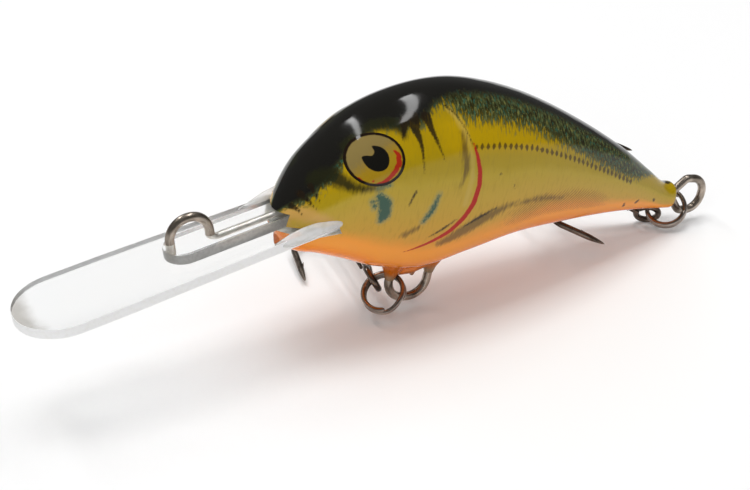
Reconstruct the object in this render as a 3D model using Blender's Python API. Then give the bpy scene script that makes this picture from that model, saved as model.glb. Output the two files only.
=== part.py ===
"""A deep-diving crankbait, 60 mm long without its bill.

Two solid body halves are glued round one bent wire, which makes the line tie on the bill, the belly hanger and the
tail loop. A split ring hangs on each of the two rear loops and carries a treble hook. The lure stands as it lies on a
table: on its belly ring, its tail ring and its hooks, with the nose up and the bill in the air.

In the body's frame +X runs from the nose to the tail and +Z towards the back. In the bill's frame +X runs from the
mouth towards the tip. Lengths are in metres, angles in degrees.
"""

import math

import bmesh
import bpy
from mathutils import Matrix, Vector

MM = 0.001

# Body
BODY_LENGTH = 60.0 * MM
BACK_HEIGHT = 15.3 * MM      # highest point of the back, above the body's axis
BELLY_DEPTH = 8.0 * MM       # lowest point of the belly, below the axis
BODY_WIDTH = 14.0 * MM
NOSE_ROUND = 4.0 * MM        # length over which the snout closes
SNOUT_DROP = 1.6 * MM        # the tip of the snout lies this far below the axis
SECTION_POWER = 2.25         # 2 is an ellipse, more is squarer
WIDEST_SHARE = 0.45          # height of the widest point, from belly to back
SEAM_GAP = 0.3 * MM
BODY_PITCH = 14.0            # the nose points up by this much as the lure lies
NOSE_HEIGHT = 18.8 * MM      # height of the axis at the nose

# Shares of the body's length, back height, belly depth and half width, from the nose to the tail
OUTLINE = (
    (0.000, 0.02, 0.66, 0.46),
    (0.035, 0.24, 0.68, 0.62),
    (0.085, 0.50, 0.70, 0.79),
    (0.150, 0.74, 0.80, 0.93),
    (0.235, 0.91, 0.96, 0.99),
    (0.335, 1.00, 1.00, 1.00),
    (0.435, 0.98, 0.77, 0.97),
    (0.550, 0.88, 0.50, 0.87),
    (0.685, 0.69, 0.34, 0.68),
    (0.815, 0.46, 0.24, 0.47),
    (0.915, 0.24, 0.21, 0.31),
    (0.965, 0.13, 0.21, 0.25),
    (1.000, 0.12, 0.21, 0.23),
)
NOSE_STATIONS = 6
BODY_STATIONS = 26
SECTION_STEPS = 16

# Eyes
EYE_DIAMETER = 7.4 * MM
EYE_DOME_RADIUS = 8.0 * MM
EYE_RIM = 0.5 * MM           # height of the disc's straight edge
EYE_FROM_NOSE = 8.7 * MM
EYE_HEIGHT = 7.4 * MM        # above the body's axis
EYE_PROUD = 0.2 * MM         # the top of the dome stands this far out of the cheek
EYE_STEPS = 28

# Bill
BILL_ANGLE = 20.2            # between the bill and the body's axis
MOUTH_HEIGHT = -2.2 * MM     # the plate's top at the nose, from the body's axis
BILL_REACH = 30.6 * MM       # from the nose to the tip
BILL_ROOT_WIDTH = 10.2 * MM
BILL_WIDTH = 11.2 * MM
BILL_WIDEST_AT = 19.0 * MM   # from the nose
BILL_TIP_LENGTH = 5.6 * MM   # length of the rounded end
BILL_THICKNESS = 1.2 * MM
TANG_LENGTH = 8.5 * MM       # glued into the mouth
TANG_STEP = 0.3 * MM         # the tang's underside is raised by this much
STEP_FROM_NOSE = 1.6 * MM
SPINE_REACH = 14.0 * MM
SPINE_WIDTH = 4.8 * MM
SPINE_HEIGHT = 1.3 * MM
ROUND_STEPS = 12

# Through-wire
WIRE_DIAMETER = 1.1 * MM
WIRE_IN_BILL = 0.1 * MM      # height of its middle over the plate's top
TIE_FRONT = 12.5 * MM        # front leg of the line tie, from the nose along the bill
TIE_WIDTH = 4.8 * MM         # between the middles of the legs
TIE_HEIGHT = 4.2 * MM        # middle of the top, over the plate's top
HANGER_FROM_NOSE = 18.4 * MM
HANGER_WIDTH = 5.5 * MM
HANGER_DROP = 5.1 * MM       # middle of the U's bottom, below the belly
HANGER_ROUND = 2.4 * MM
WIRE_DECK = 1.6 * MM         # height of the wire inside the body, over the axis
TAIL_LOOP_DIAMETER = 4.5 * MM
TAIL_LOOP_NECK = 0.6 * MM    # length of the straight legs behind the body
TAIL_LEG_SPACING = 1.4 * MM
TAIL_LEG_LENGTH = 6.0 * MM   # the lower leg's end, inside the body
SOFT_BEND = 1.0 * MM         # radius of the wire's hidden bends
WIRE_SIDE_STEPS = 2          # bevel resolution, 8 sides
ARC_STEPS = 5

# Ballast
BALLAST_DIAMETER = 4.0 * MM
BALLAST_LENGTH = 7.0 * MM
BALLAST_FROM_NOSE = 9.0 * MM
BALLAST_DEPTH = 3.7 * MM     # of its middle, below the axis
BALLAST_ROUND = 0.8 * MM

# Split rings
RING_DIAMETER = 5.6 * MM
RING_WIRE = 0.5 * MM
RING_PITCH = 0.93 * MM       # between the middles of the two turns
RING_START = 40.0            # the turns start and end here, either side of the step
RING_LOOP_POINTS = 24

# Treble hooks
HOOK_WIRE = 0.82 * MM
HOOK_EYE_BORE = 2.1 * MM
SHANK_LENGTH = 13.0 * MM     # from the eye's middle to the bend
SHANK_SPACING = 1.05 * MM    # between the middles of two wires
GAPE = 6.3 * MM              # from the shank to the point's leg
POINT_LENGTH = 6.2 * MM
POINT_SPREAD = 0.5 * MM      # the tip leans out by this much
TAPER_LENGTH = 2.4 * MM
BARB_LENGTH = 1.5 * MM
BARB_FROM_TIP = 2.3 * MM
BEND_STEPS = 9
EYE_LOOP_STEPS = 14

# Where the rings and hooks lie, as the lure rests
BELLY_RING_AT = 27.0         # along the U's front bend
BELLY_RING_AZIMUTH = 215.0   # of the ring's axis
BELLY_RING_RISE = 56.0
BELLY_RING_HANG = 64.0       # from the ring's level radius to the hanger
BELLY_HOOK_AT = 145.0        # from the ring's level radius to the hook's eye
BELLY_HOOK_YAW = 78.0
BELLY_HOOK_RISE = 2.0
TAIL_RING_AT = 1.4 * MM      # along the loop's lower leg, from the body
TAIL_RING_AZIMUTH = 219.0
TAIL_RING_RISE = 50.0
TAIL_RING_HANG = 25.0
TAIL_HOOK_AT = 208.0
TAIL_HOOK_YAW = 160.0
TAIL_HOOK_RISE = 26.2

# Clearances
WIRE_FIT = 0.2 * MM
BILL_FIT = 0.3 * MM
EYE_FIT = 0.3 * MM
BALLAST_FIT = 0.3 * MM
BELLY_RING_FIT = 0.85 * MM
TAIL_RING_FIT = 0.5 * MM


def clear_scene():
    for obj in list(bpy.data.objects):
        bpy.data.objects.remove(obj)


def add_collection(name):
    collection = bpy.data.collections.new(name)
    bpy.context.scene.collection.children.link(collection)
    return collection


def add_material(name, colour, roughness, metallic=0.0, alpha=1.0):
    material = bpy.data.materials.new(name)
    material.use_nodes = True
    shader = material.node_tree.nodes["Principled BSDF"]
    shader.inputs["Base Color"].default_value = (*colour, 1.0)
    shader.inputs["Roughness"].default_value = roughness
    shader.inputs["Metallic"].default_value = metallic
    shader.inputs["Alpha"].default_value = alpha
    return material


def add_empty(name, matrix, parent):
    empty = bpy.data.objects.new(name, None)
    PARTS.objects.link(empty)
    hang(empty, parent, matrix)
    return empty


def hang(obj, parent, matrix):
    """Parents an object and places it by a matrix in its parent's frame."""
    obj.parent = parent
    obj.matrix_local = matrix


def add_object(name, data, parent, material=None, matrix=Matrix()):
    """A sub-part if it has a material, and otherwise a cutter."""
    obj = bpy.data.objects.new(name, data)
    hang(obj, parent, matrix)
    if material:
        PARTS.objects.link(obj)
        data.materials.append(material)
    else:
        CUTTERS.objects.link(obj)
        obj.hide_render = True
        obj.display_type = "WIRE"
    return obj


def mesh_from(bm, name, smooth_angle=35.0):
    bmesh.ops.recalc_face_normals(bm, faces=bm.faces)
    mesh = bpy.data.meshes.new(name)
    bm.to_mesh(mesh)
    bm.free()
    mesh.shade_smooth()
    mesh.set_sharp_from_angle(angle=math.radians(smooth_angle))
    return mesh


def curve_mesh(curve, name):
    """The mesh of a curve, with its caps welded on."""
    obj = bpy.data.objects.new(name, curve)
    bpy.context.scene.collection.objects.link(obj)
    evaluated = obj.evaluated_get(bpy.context.evaluated_depsgraph_get())
    mesh = bpy.data.meshes.new_from_object(evaluated)
    bpy.data.objects.remove(obj)
    bm = bmesh.new()
    bm.from_mesh(mesh)
    bmesh.ops.remove_doubles(bm, verts=bm.verts, dist=1e-6)
    bpy.data.meshes.remove(mesh)
    return mesh_from(bm, name)


def tube_mesh(name, points, radius, side_steps=WIRE_SIDE_STEPS, radii=None):
    """A round wire along points. radii, if given, are shares of the radius."""
    curve = bpy.data.curves.new(name, "CURVE")
    curve.dimensions = "3D"
    curve.bevel_depth = radius
    curve.bevel_resolution = side_steps
    curve.use_fill_caps = True
    spline = curve.splines.new("POLY")
    spline.points.add(len(points) - 1)
    for index, point in enumerate(points):
        spline.points[index].co = (*point, 1.0)
        if radii:
            spline.points[index].radius = radii[index]
    return curve_mesh(curve, name)


def slab_mesh(name, outline, low, high):
    """A flat outline with a thickness, from low to high in Z."""
    curve = bpy.data.curves.new(name, "CURVE")
    curve.dimensions = "2D"
    curve.fill_mode = "BOTH"
    curve.extrude = (high - low) / 2
    spline = curve.splines.new("POLY")
    spline.points.add(len(outline) - 1)
    for point, (x, y) in zip(spline.points, outline):
        point.co = (x, y, 0.0, 1.0)
    spline.use_cyclic_u = True
    mesh = curve_mesh(curve, name)
    mesh.transform(Matrix.Translation((0, 0, (low + high) / 2)))
    return mesh


def combine(target, operation, tool):
    modifier = target.modifiers.new(tool.name, "BOOLEAN")
    modifier.operation = operation
    modifier.object = tool


def rounded_path(corners):
    """Points along straight runs with round bends. A corner is (point, bend radius)."""
    points = [corners[0][0]]
    for (before, _), (corner, radius), (after, _) in zip(corners, corners[1:], corners[2:]):
        back = (before - corner).normalized()
        ahead = (after - corner).normalized()
        half = back.angle(ahead) / 2
        reach = radius / math.tan(half)
        middle = corner + (back + ahead).normalized() * (radius / math.sin(half))
        start = corner + back * reach - middle
        end = corner + ahead * reach - middle
        sweep = start.angle(end)
        for step in range(ARC_STEPS + 1):
            share = step / ARC_STEPS
            weight = math.sin((1 - share) * sweep), math.sin(share * sweep)
            points.append(middle + (start * weight[0] + end * weight[1]) / math.sin(sweep))
    points.append(corners[-1][0])
    return points


def outline_value(column, share):
    """A smooth curve through one column of the outline."""
    rows = OUTLINE
    index = 0
    while index < len(rows) - 2 and share > rows[index + 1][0]:
        index += 1

    def slope(at):
        low = max(at - 1, 0)
        high = min(at + 1, len(rows) - 1)
        return (rows[high][column] - rows[low][column]) / (rows[high][0] - rows[low][0])

    left, right = rows[index], rows[index + 1]
    span = right[0] - left[0]
    t = (share - left[0]) / span
    return (
        (2 * t**3 - 3 * t**2 + 1) * left[column]
        + (t**3 - 2 * t**2 + t) * span * slope(index)
        + (3 * t**2 - 2 * t**3) * right[column]
        + (t**3 - t**2) * span * slope(index + 1)
    )


def nose_factor(along):
    if along >= NOSE_ROUND:
        return 1.0
    return math.sqrt(1.0 - (1.0 - along / NOSE_ROUND) ** 2)


def body_section(along):
    """Back, belly and half width of the body at a distance from the nose."""
    share = along / BODY_LENGTH
    closing = nose_factor(along)
    back = outline_value(1, share) * BACK_HEIGHT
    belly = -outline_value(2, share) * BELLY_DEPTH
    width = outline_value(3, share) * BODY_WIDTH / 2
    back = -SNOUT_DROP + (back + SNOUT_DROP) * closing
    belly = -SNOUT_DROP + (belly + SNOUT_DROP) * closing
    return back, belly, width * closing


def signed_power(value, power):
    return math.copysign(abs(value) ** power, value)


def body_point(along, turn):
    """Half width and height on the body's skin. turn runs from -90 at the belly to 90 at the back."""
    back, belly, width = body_section(along)
    middle = belly + (back - belly) * WIDEST_SHARE
    rise = signed_power(math.sin(math.radians(turn)), 2 / SECTION_POWER)
    out = signed_power(math.cos(math.radians(turn)), 2 / SECTION_POWER)
    height = middle + rise * ((back - middle) if rise > 0 else (middle - belly))
    return width * out, height


def body_stations():
    nose = [NOSE_ROUND * (1 - math.cos(math.pi / 2 * (i + 0.6) / NOSE_STATIONS)) for i in range(NOSE_STATIONS)]
    step = (BODY_LENGTH - NOSE_ROUND) / BODY_STATIONS
    return nose + [NOSE_ROUND + step * i for i in range(BODY_STATIONS + 1)]


def half_body_mesh(name, side):
    """One half of the body: a loft from the nose to the tail, flat at the seam. side is -1 or 1."""
    bm = bmesh.new()
    rings = []
    for along in body_stations():
        ring = []
        for step in range(SECTION_STEPS + 1):
            out, height = body_point(along, -90.0 + 180.0 * step / SECTION_STEPS)
            ring.append(bm.verts.new((along, side * (SEAM_GAP / 2 + out), height)))
        rings.append(ring)
    for ring, following in zip(rings, rings[1:]):
        for step in range(SECTION_STEPS):
            bm.faces.new((ring[step], ring[step + 1], following[step + 1], following[step]))
        bm.faces.new((ring[0], following[0], following[-1], ring[-1]))
    bm.faces.new(rings[0])
    bm.faces.new(rings[-1])
    return mesh_from(bm, name)


def turned_mesh(name, profile, steps):
    """A solid turned about Z from a profile of (radius, height) that starts and ends on the axis, top to bottom."""
    bm = bmesh.new()
    verts = [bm.verts.new((radius, 0, height)) for radius, height in profile]
    edges = [bm.edges.new(pair) for pair in zip(verts, verts[1:])]
    bmesh.ops.spin(
        bm,
        geom=verts + edges,
        cent=(0, 0, 0),
        axis=(0, 0, 1),
        angle=2 * math.pi,
        steps=steps,
    )
    bmesh.ops.remove_doubles(bm, verts=bm.verts, dist=1e-6)
    return mesh_from(bm, name)


def axes_matrix(origin, x_axis, z_axis):
    """A frame at origin with a given +Z and the +X nearest to x_axis."""
    z = z_axis.normalized()
    x = (x_axis - z * x_axis.dot(z)).normalized()
    y = z.cross(x)
    matrix = Matrix((x, y, z)).transposed().to_4x4()
    matrix.translation = origin
    return matrix


def direction(azimuth, rise):
    flat = math.cos(math.radians(rise))
    return Vector((
        flat * math.cos(math.radians(azimuth)),
        flat * math.sin(math.radians(azimuth)),
        math.sin(math.radians(rise)),
    ))


def eye_frame(side):
    """A frame on the cheek: +Z out of the skin, the origin on it."""
    def skin(along, height):
        low, high = -90.0, 90.0
        for _ in range(40):
            turn = (low + high) / 2
            if body_point(along, turn)[1] < height:
                low = turn
            else:
                high = turn
        return Vector((along, side * (SEAM_GAP / 2 + body_point(along, low)[0]), height))

    nudge = EYE_DIAMETER / 4
    point = skin(EYE_FROM_NOSE, EYE_HEIGHT)
    lengthwise = skin(EYE_FROM_NOSE + nudge, EYE_HEIGHT) - skin(EYE_FROM_NOSE - nudge, EYE_HEIGHT)
    upwards = skin(EYE_FROM_NOSE, EYE_HEIGHT + nudge) - skin(EYE_FROM_NOSE, EYE_HEIGHT - nudge)
    outwards = lengthwise.cross(upwards) * -side
    return axes_matrix(point, lengthwise, outwards)


def eye_profile(clearance, top):
    """A domed disc, or with a top its straight socket. The dome's top is at zero."""
    radius = EYE_DIAMETER / 2 + clearance
    if top:
        floor = -eye_depth() - clearance
        return [(0, top), (radius, top), (radius, floor), (0, floor)]
    dome = [(EYE_DOME_RADIUS * math.sin(a), EYE_DOME_RADIUS * (math.cos(a) - 1)) for a in dome_angles()]
    return dome + [(radius, -eye_depth()), (0, -eye_depth())]


def dome_angles():
    rim = math.asin(EYE_DIAMETER / 2 / EYE_DOME_RADIUS)
    return [rim * step / 5 for step in range(6)]


def eye_depth():
    return EYE_DOME_RADIUS * (1 - math.cos(dome_angles()[-1])) + EYE_RIM


def bill_outline(margin, start, end_round=True):
    """Half-way round the bill from its root to its tip, mirrored. margin grows it all round."""
    side = [(start - margin, BILL_ROOT_WIDTH / 2 + margin), (0.0, BILL_ROOT_WIDTH / 2 + margin)]
    side.append((BILL_WIDEST_AT, BILL_WIDTH / 2 + margin))
    tip = BILL_REACH - BILL_TIP_LENGTH
    for step in range(ROUND_STEPS):
        turn = math.pi / 2 * step / ROUND_STEPS
        side.append((tip + BILL_TIP_LENGTH * math.sin(turn), BILL_WIDTH / 2 * math.cos(turn) + margin))
    if not end_round:
        side = side[:2]
    other = [(x, -y) for x, y in reversed(side)]
    return side + ([(BILL_REACH, 0.0)] if end_round else []) + other


def spine_outline(margin):
    half = SPINE_WIDTH / 2 + margin
    middle = SPINE_REACH - SPINE_WIDTH / 2
    front = []
    for step in range(1, ROUND_STEPS):
        turn = math.pi * step / ROUND_STEPS
        front.append((middle + half * math.sin(turn), half * math.cos(turn)))
    back = -TANG_LENGTH - margin
    return [(back, half), (middle, half)] + front + [(middle, -half), (back, -half)]


def wire_path(to_body):
    """The through-wire's middle line in the body's frame, from its end in the bill to its end in the tail."""
    def on_bill(along, height):
        return to_body @ Vector((along, 0, height))

    def in_body(along, height):
        return Vector((along, 0, height))

    tie_rear = TIE_FRONT - TIE_WIDTH
    tie_round = TIE_WIDTH / 2 * 0.98
    hanger_rear = HANGER_FROM_NOSE + HANGER_WIDTH
    hanger_low = hanger_bottom()
    leg = TAIL_LEG_SPACING / 2
    loop = TAIL_LOOP_DIAMETER / 2
    neck_end = BODY_LENGTH + TAIL_LOOP_NECK
    flare = neck_end + loop - leg
    loop_end = flare + TAIL_LOOP_DIAMETER * 0.75
    return rounded_path([
        (on_bill(TIE_FRONT, WIRE_IN_BILL), 0),
        (on_bill(TIE_FRONT, TIE_HEIGHT), tie_round),
        (on_bill(tie_rear, TIE_HEIGHT), tie_round),
        (on_bill(tie_rear, WIRE_IN_BILL), SOFT_BEND),
        (on_bill(-TANG_LENGTH - SOFT_BEND, WIRE_IN_BILL), SOFT_BEND),
        (in_body(HANGER_FROM_NOSE, WIRE_DECK), SOFT_BEND),
        (in_body(HANGER_FROM_NOSE, hanger_low), HANGER_ROUND),
        (in_body(hanger_rear, hanger_low), HANGER_ROUND),
        (in_body(hanger_rear, WIRE_DECK), SOFT_BEND),
        (in_body(BODY_LENGTH - TAIL_LEG_LENGTH, leg), SOFT_BEND),
        (in_body(neck_end, leg), SOFT_BEND),
        (in_body(flare, loop), SOFT_BEND),
        (in_body(loop_end, loop), loop * 0.95),
        (in_body(loop_end, -loop), loop * 0.95),
        (in_body(flare, -loop), SOFT_BEND),
        (in_body(neck_end, -leg), SOFT_BEND / 2),
        (in_body(BODY_LENGTH - TAIL_LEG_LENGTH, -leg), 0),
    ])


def hanger_bottom():
    """Height of the middle of the belly hanger's lowest run."""
    return body_section(HANGER_FROM_NOSE + HANGER_WIDTH / 2)[1] - HANGER_DROP


def ring_points():
    """Two flat turns about Z with a step between them. The wire starts past the step and ends before it."""
    radius = (RING_DIAMETER - RING_WIRE) / 2
    sweep = 720.0 - 2 * RING_START
    count = round(RING_LOOP_POINTS * sweep / 360.0)
    points = []
    for index in range(count + 1):
        turn = RING_START + sweep * index / count
        share = min(max((turn - 360.0 + RING_START / 2) / RING_START, 0.0), 1.0)
        level = share * share * (3 - 2 * share) - 0.5
        angle = math.radians(turn)
        points.append(Vector((radius * math.cos(angle), radius * math.sin(angle), RING_PITCH * level)))
    return points


def least_gap(points, diameter):
    """The least clear distance between stretches of one wire that aren't neighbours along it."""
    apart = RING_LOOP_POINTS // 2
    return min((a - b).length for i, a in enumerate(points) for b in points[i + apart:]) - diameter


def hook_leg(turn, start):
    """A hook's middle line from start along the shank to its tip. The shank runs along +X."""
    radial = Vector((0, math.cos(math.radians(turn)), math.sin(math.radians(turn))))
    bundle = SHANK_SPACING / math.sqrt(3)
    radius = GAPE / 2

    def at(along, out):
        return Vector((along, 0, 0)) + radial * out

    points = [at(start, bundle), at(SHANK_LENGTH, bundle)]
    for step in range(1, BEND_STEPS + 1):
        angle = math.pi * step / BEND_STEPS
        points.append(at(SHANK_LENGTH + radius * math.sin(angle), bundle + radius - radius * math.cos(angle)))
    for along in (POINT_LENGTH - TAPER_LENGTH, POINT_LENGTH):
        lean = POINT_SPREAD * along / POINT_LENGTH
        points.append(at(SHANK_LENGTH - along, bundle + GAPE + lean))
    return points


def barb_matrix(points):
    """A frame at the barb's root on the point's inner side, +Z along the barb."""
    tip, before = points[-1], points[-2]
    towards = (tip - before).normalized()
    inwards = (Vector((tip.x, 0, 0)) - tip).normalized()
    root = tip - towards * BARB_FROM_TIP
    back = (inwards * 0.45 - towards).normalized()
    return axes_matrix(root, inwards, back)


def barb_mesh(name):
    bm = bmesh.new()
    bmesh.ops.create_cone(
        bm,
        cap_ends=True,
        segments=6,
        radius1=HOOK_WIRE * 0.34,
        radius2=HOOK_WIRE * 0.04,
        depth=BARB_LENGTH,
        matrix=Matrix.Translation((0, 0, BARB_LENGTH / 2)),
    )
    return mesh_from(bm, name)


def hook_radii(points):
    return [1.0] * (len(points) - 1) + [0.12]


def add_hook(name, parent, points, radii, tips):
    """One hook wire with a barb behind each tip. tips holds each leg's points, root to tip."""
    hook = add_object(name, tube_mesh(name, points, HOOK_WIRE / 2, radii=radii), parent, STEEL)
    for index, leg in enumerate(tips):
        barb_name = f"{name}_barb_{index}"
        barb = add_object(barb_name, barb_mesh(barb_name), parent, matrix=barb_matrix(leg))
        combine(hook, "UNION", barb)
    return hook


def double_hook_points():
    """Tip, bend and shank of one leg, the eye, and the other leg out to its tip."""
    radius = (HOOK_EYE_BORE + HOOK_WIRE) / 2
    legs = [hook_leg(turn, radius + 1.4 * HOOK_WIRE) for turn in (30.0, 150.0)]
    half_gap = legs[0][0].y
    opening = math.asin(half_gap / radius)
    loop = []
    for step in range(EYE_LOOP_STEPS + 1):
        angle = opening + (2 * math.pi - 2 * opening) * step / EYE_LOOP_STEPS
        loop.append(Vector((radius * math.cos(angle), radius * math.sin(angle), 0)))
    return legs, list(reversed(legs[0])) + loop + legs[1]


def add_treble(prefix, pivot):
    """A treble: one wire with the eye and two points, and a third hook brazed along its shank."""
    legs, points = double_hook_points()
    radii = list(reversed(hook_radii(legs[0]))) + [1.0] * (EYE_LOOP_STEPS + 1) + hook_radii(legs[1])
    add_hook(f"{prefix}_double_hook", pivot, points, radii, legs)
    single = hook_leg(270.0, HOOK_EYE_BORE / 2 + 2.4 * HOOK_WIRE)
    add_hook(f"{prefix}_single_hook", pivot, single, hook_radii(single), [single])


def add_ring_and_treble(prefix, wire_point, wire_along, fit, axis, hang_turn, hook_turn, shank, parent):
    """A split ring round the wire at a point, and a treble on the ring, each on its own pivot."""
    middle_radius = (RING_DIAMETER - RING_WIRE) / 2
    hang_radius = middle_radius - RING_WIRE / 2 - WIRE_DIAMETER / 2 - fit
    level = Vector((-axis.y, axis.x, 0)).normalized()
    upwards = axis.cross(level)

    def spoke(turn):
        return level * math.cos(math.radians(turn)) + upwards * math.sin(math.radians(turn))

    to_parent = parent.matrix_world.inverted()
    centre = wire_point - spoke(hang_turn) * hang_radius
    pivot_world = axes_matrix(wire_point, axis, wire_along)
    pivot = add_empty(f"{prefix}_ring_pivot", to_parent @ pivot_world, parent)
    ring_world = axes_matrix(centre, spoke(hook_turn + 180.0), axis)
    ring_name = f"{prefix}_split_ring"
    ring = tube_mesh(ring_name, ring_points(), RING_WIRE / 2, side_steps=1)
    add_object(ring_name, ring, pivot, RING_STEEL, pivot_world.inverted() @ ring_world)

    eye = centre + spoke(hook_turn) * middle_radius
    tangent = spoke(hook_turn + 90.0)
    hook_axis = tangent - shank * tangent.dot(shank)
    hook_world = axes_matrix(eye, shank, -hook_axis)
    hook_pivot = add_empty(f"{prefix}_hook_pivot", pivot_world.inverted() @ hook_world, pivot)
    bpy.context.view_layer.update()
    add_treble(prefix, hook_pivot)
    return pivot, hook_pivot


def object_bounds():
    """Lowest and highest corners of all the sub-parts."""
    graph = bpy.context.evaluated_depsgraph_get()
    low = Vector((math.inf,) * 3)
    high = -low
    for obj in PARTS.objects:
        if obj.type != "MESH":
            continue
        mesh = obj.evaluated_get(graph).to_mesh()
        for vert in mesh.vertices:
            world = obj.matrix_world @ vert.co
            low = Vector(map(min, low, world))
            high = Vector(map(max, high, world))
    return low, high


clear_scene()
PARTS = add_collection("crankbait_lure")
CUTTERS = add_collection("cutters")

LEFT_PAINT = add_material("left_body_paint", (0.62, 0.42, 0.05), 0.15)
RIGHT_PAINT = add_material("right_body_paint", (0.62, 0.42, 0.05), 0.15)
EYE_PAINT = add_material("eye_gold", (0.70, 0.52, 0.12), 0.1)
CLEAR = add_material("clear_polycarbonate", (0.92, 0.94, 0.95), 0.05, alpha=0.35)
WIRE_STEEL = add_material("hanger_wire_steel", (0.38, 0.34, 0.30), 0.3, 1.0)
LEAD = add_material("cast_lead", (0.25, 0.25, 0.27), 0.6, 1.0)
RING_STEEL = add_material("black_nickel_ring", (0.30, 0.27, 0.25), 0.3, 1.0)
STEEL = add_material("black_nickel_hook", (0.22, 0.20, 0.18), 0.3, 1.0)

# Frames of the lure, its body and its bill
lure = add_empty("lure", Matrix(), None)
body_matrix = Matrix.Translation((0, 0, NOSE_HEIGHT)) @ Matrix.Rotation(math.radians(BODY_PITCH), 4, "Y")
body = add_empty("body_frame", body_matrix, lure)
bill_matrix = (
    Matrix.Translation((0, 0, MOUTH_HEIGHT))
    @ Matrix.Rotation(math.radians(-BILL_ANGLE), 4, "Y")
    @ Matrix.Rotation(math.pi, 4, "Z")
)
bill_frame = add_empty("bill_frame", bill_matrix, body)
bpy.context.view_layer.update()

# Body halves, before their cuts
left_half = add_object("left_body_half", half_body_mesh("left_body_half", -1), body, LEFT_PAINT)
right_half = add_object("right_body_half", half_body_mesh("right_body_half", 1), body, RIGHT_PAINT)
halves = {-1: left_half, 1: right_half}

# The bill: a plate with a thinner tang, and a spine along its top that holds the wire
exposed = [(max(x, STEP_FROM_NOSE), y) for x, y in bill_outline(0.0, 0.0)]
bill = add_object("diving_bill", slab_mesh("diving_bill", exposed[1:-1], -BILL_THICKNESS, 0.0), bill_frame, CLEAR)
tang_outline = bill_outline(0.0, -TANG_LENGTH, end_round=False)
overlap = STEP_FROM_NOSE + TANG_STEP
tang_outline = [(overlap if x == 0.0 else x, y) for x, y in tang_outline]
tang_low = TANG_STEP - BILL_THICKNESS
tang = add_object("bill_tang", slab_mesh("bill_tang", tang_outline, tang_low, 0.0), bill_frame)
combine(bill, "UNION", tang)
spine_low = tang_low / 2
spine = add_object("bill_spine", slab_mesh("bill_spine", spine_outline(0.0), spine_low, SPINE_HEIGHT), bill_frame)
combine(bill, "UNION", spine)

# The mouth slot: the root of the bill, grown by its clearance
slot_outline = bill_outline(BILL_FIT, -TANG_LENGTH, end_round=False)
slot_outline = [(BODY_WIDTH if x == 0.0 else x, y) for x, y in slot_outline]
slot_low = -BILL_THICKNESS - BILL_FIT
slot = add_object("mouth_slot", slab_mesh("mouth_slot", slot_outline, slot_low, BILL_FIT), bill_frame)
spine_slot_mesh = slab_mesh("spine_slot", spine_outline(BILL_FIT), spine_low, SPINE_HEIGHT + BILL_FIT)
spine_slot = add_object("spine_slot", spine_slot_mesh, bill_frame)

# The through-wire, and the channel that it lies in
path = wire_path(bill_matrix)
wire = add_object("through_wire", tube_mesh("through_wire", path, WIRE_DIAMETER / 2), body, WIRE_STEEL)
ends = [(a - b).normalized() * WIRE_FIT for a, b in (path[:2], path[:-3:-1])]
channel_path = [path[0] + ends[0]] + path[1:-1] + [path[-1] + ends[1]]
channel_mesh = tube_mesh("wire_channel", channel_path, WIRE_DIAMETER / 2 + WIRE_FIT)
channel = add_object("wire_channel", channel_mesh, body)
combine(bill, "DIFFERENCE", channel)

# The ballast and its pocket, along the keel
ballast_matrix = Matrix.Translation((BALLAST_FROM_NOSE + BALLAST_LENGTH / 2, 0, -BALLAST_DEPTH))
ballast_matrix = ballast_matrix @ Matrix.Rotation(math.pi / 2, 4, "Y")


def ballast_profile(clearance):
    radius = BALLAST_DIAMETER / 2 + clearance
    half = BALLAST_LENGTH / 2 + clearance
    return [
        (0, half),
        (radius - BALLAST_ROUND, half),
        (radius, half - BALLAST_ROUND),
        (radius, BALLAST_ROUND - half),
        (radius - BALLAST_ROUND, -half),
        (0, -half),
    ]


ballast_mesh = turned_mesh("keel_ballast", ballast_profile(0.0), 16)
add_object("keel_ballast", ballast_mesh, body, LEAD, ballast_matrix)
pocket_mesh = turned_mesh("ballast_pocket", ballast_profile(BALLAST_FIT), 16)
pocket = add_object("ballast_pocket", pocket_mesh, body, matrix=ballast_matrix)

# Eyes and sockets, and the cuts in the two halves
for side, word in ((-1, "left"), (1, "right")):
    cheek = eye_frame(side) @ Matrix.Translation((0, 0, EYE_PROUD))
    eye_name = f"{word}_eye"
    add_object(eye_name, turned_mesh(eye_name, eye_profile(0.0, None), EYE_STEPS), body, EYE_PAINT, cheek)
    socket_mesh = turned_mesh(f"{word}_eye_socket", eye_profile(EYE_FIT, EYE_DIAMETER), EYE_STEPS)
    socket = add_object(f"{word}_eye_socket", socket_mesh, body, matrix=cheek)
    for cutter in (slot, spine_slot, channel, pocket, socket):
        combine(halves[side], "DIFFERENCE", cutter)

# Belly ring and treble, on the front bend of the U
bend = math.radians(BELLY_RING_AT)
belly_point = Vector((
    HANGER_FROM_NOSE + HANGER_ROUND * (1 - math.cos(bend)),
    0,
    hanger_bottom() + HANGER_ROUND * (1 - math.sin(bend)),
))
belly_along = Vector((math.sin(bend), 0, -math.cos(bend)))
belly_pivots = add_ring_and_treble(
    "belly",
    body.matrix_world @ belly_point,
    body.matrix_world.to_3x3() @ belly_along,
    BELLY_RING_FIT,
    direction(BELLY_RING_AZIMUTH, BELLY_RING_RISE),
    BELLY_RING_HANG,
    BELLY_HOOK_AT,
    direction(BELLY_HOOK_YAW, BELLY_HOOK_RISE),
    body,
)

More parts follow.
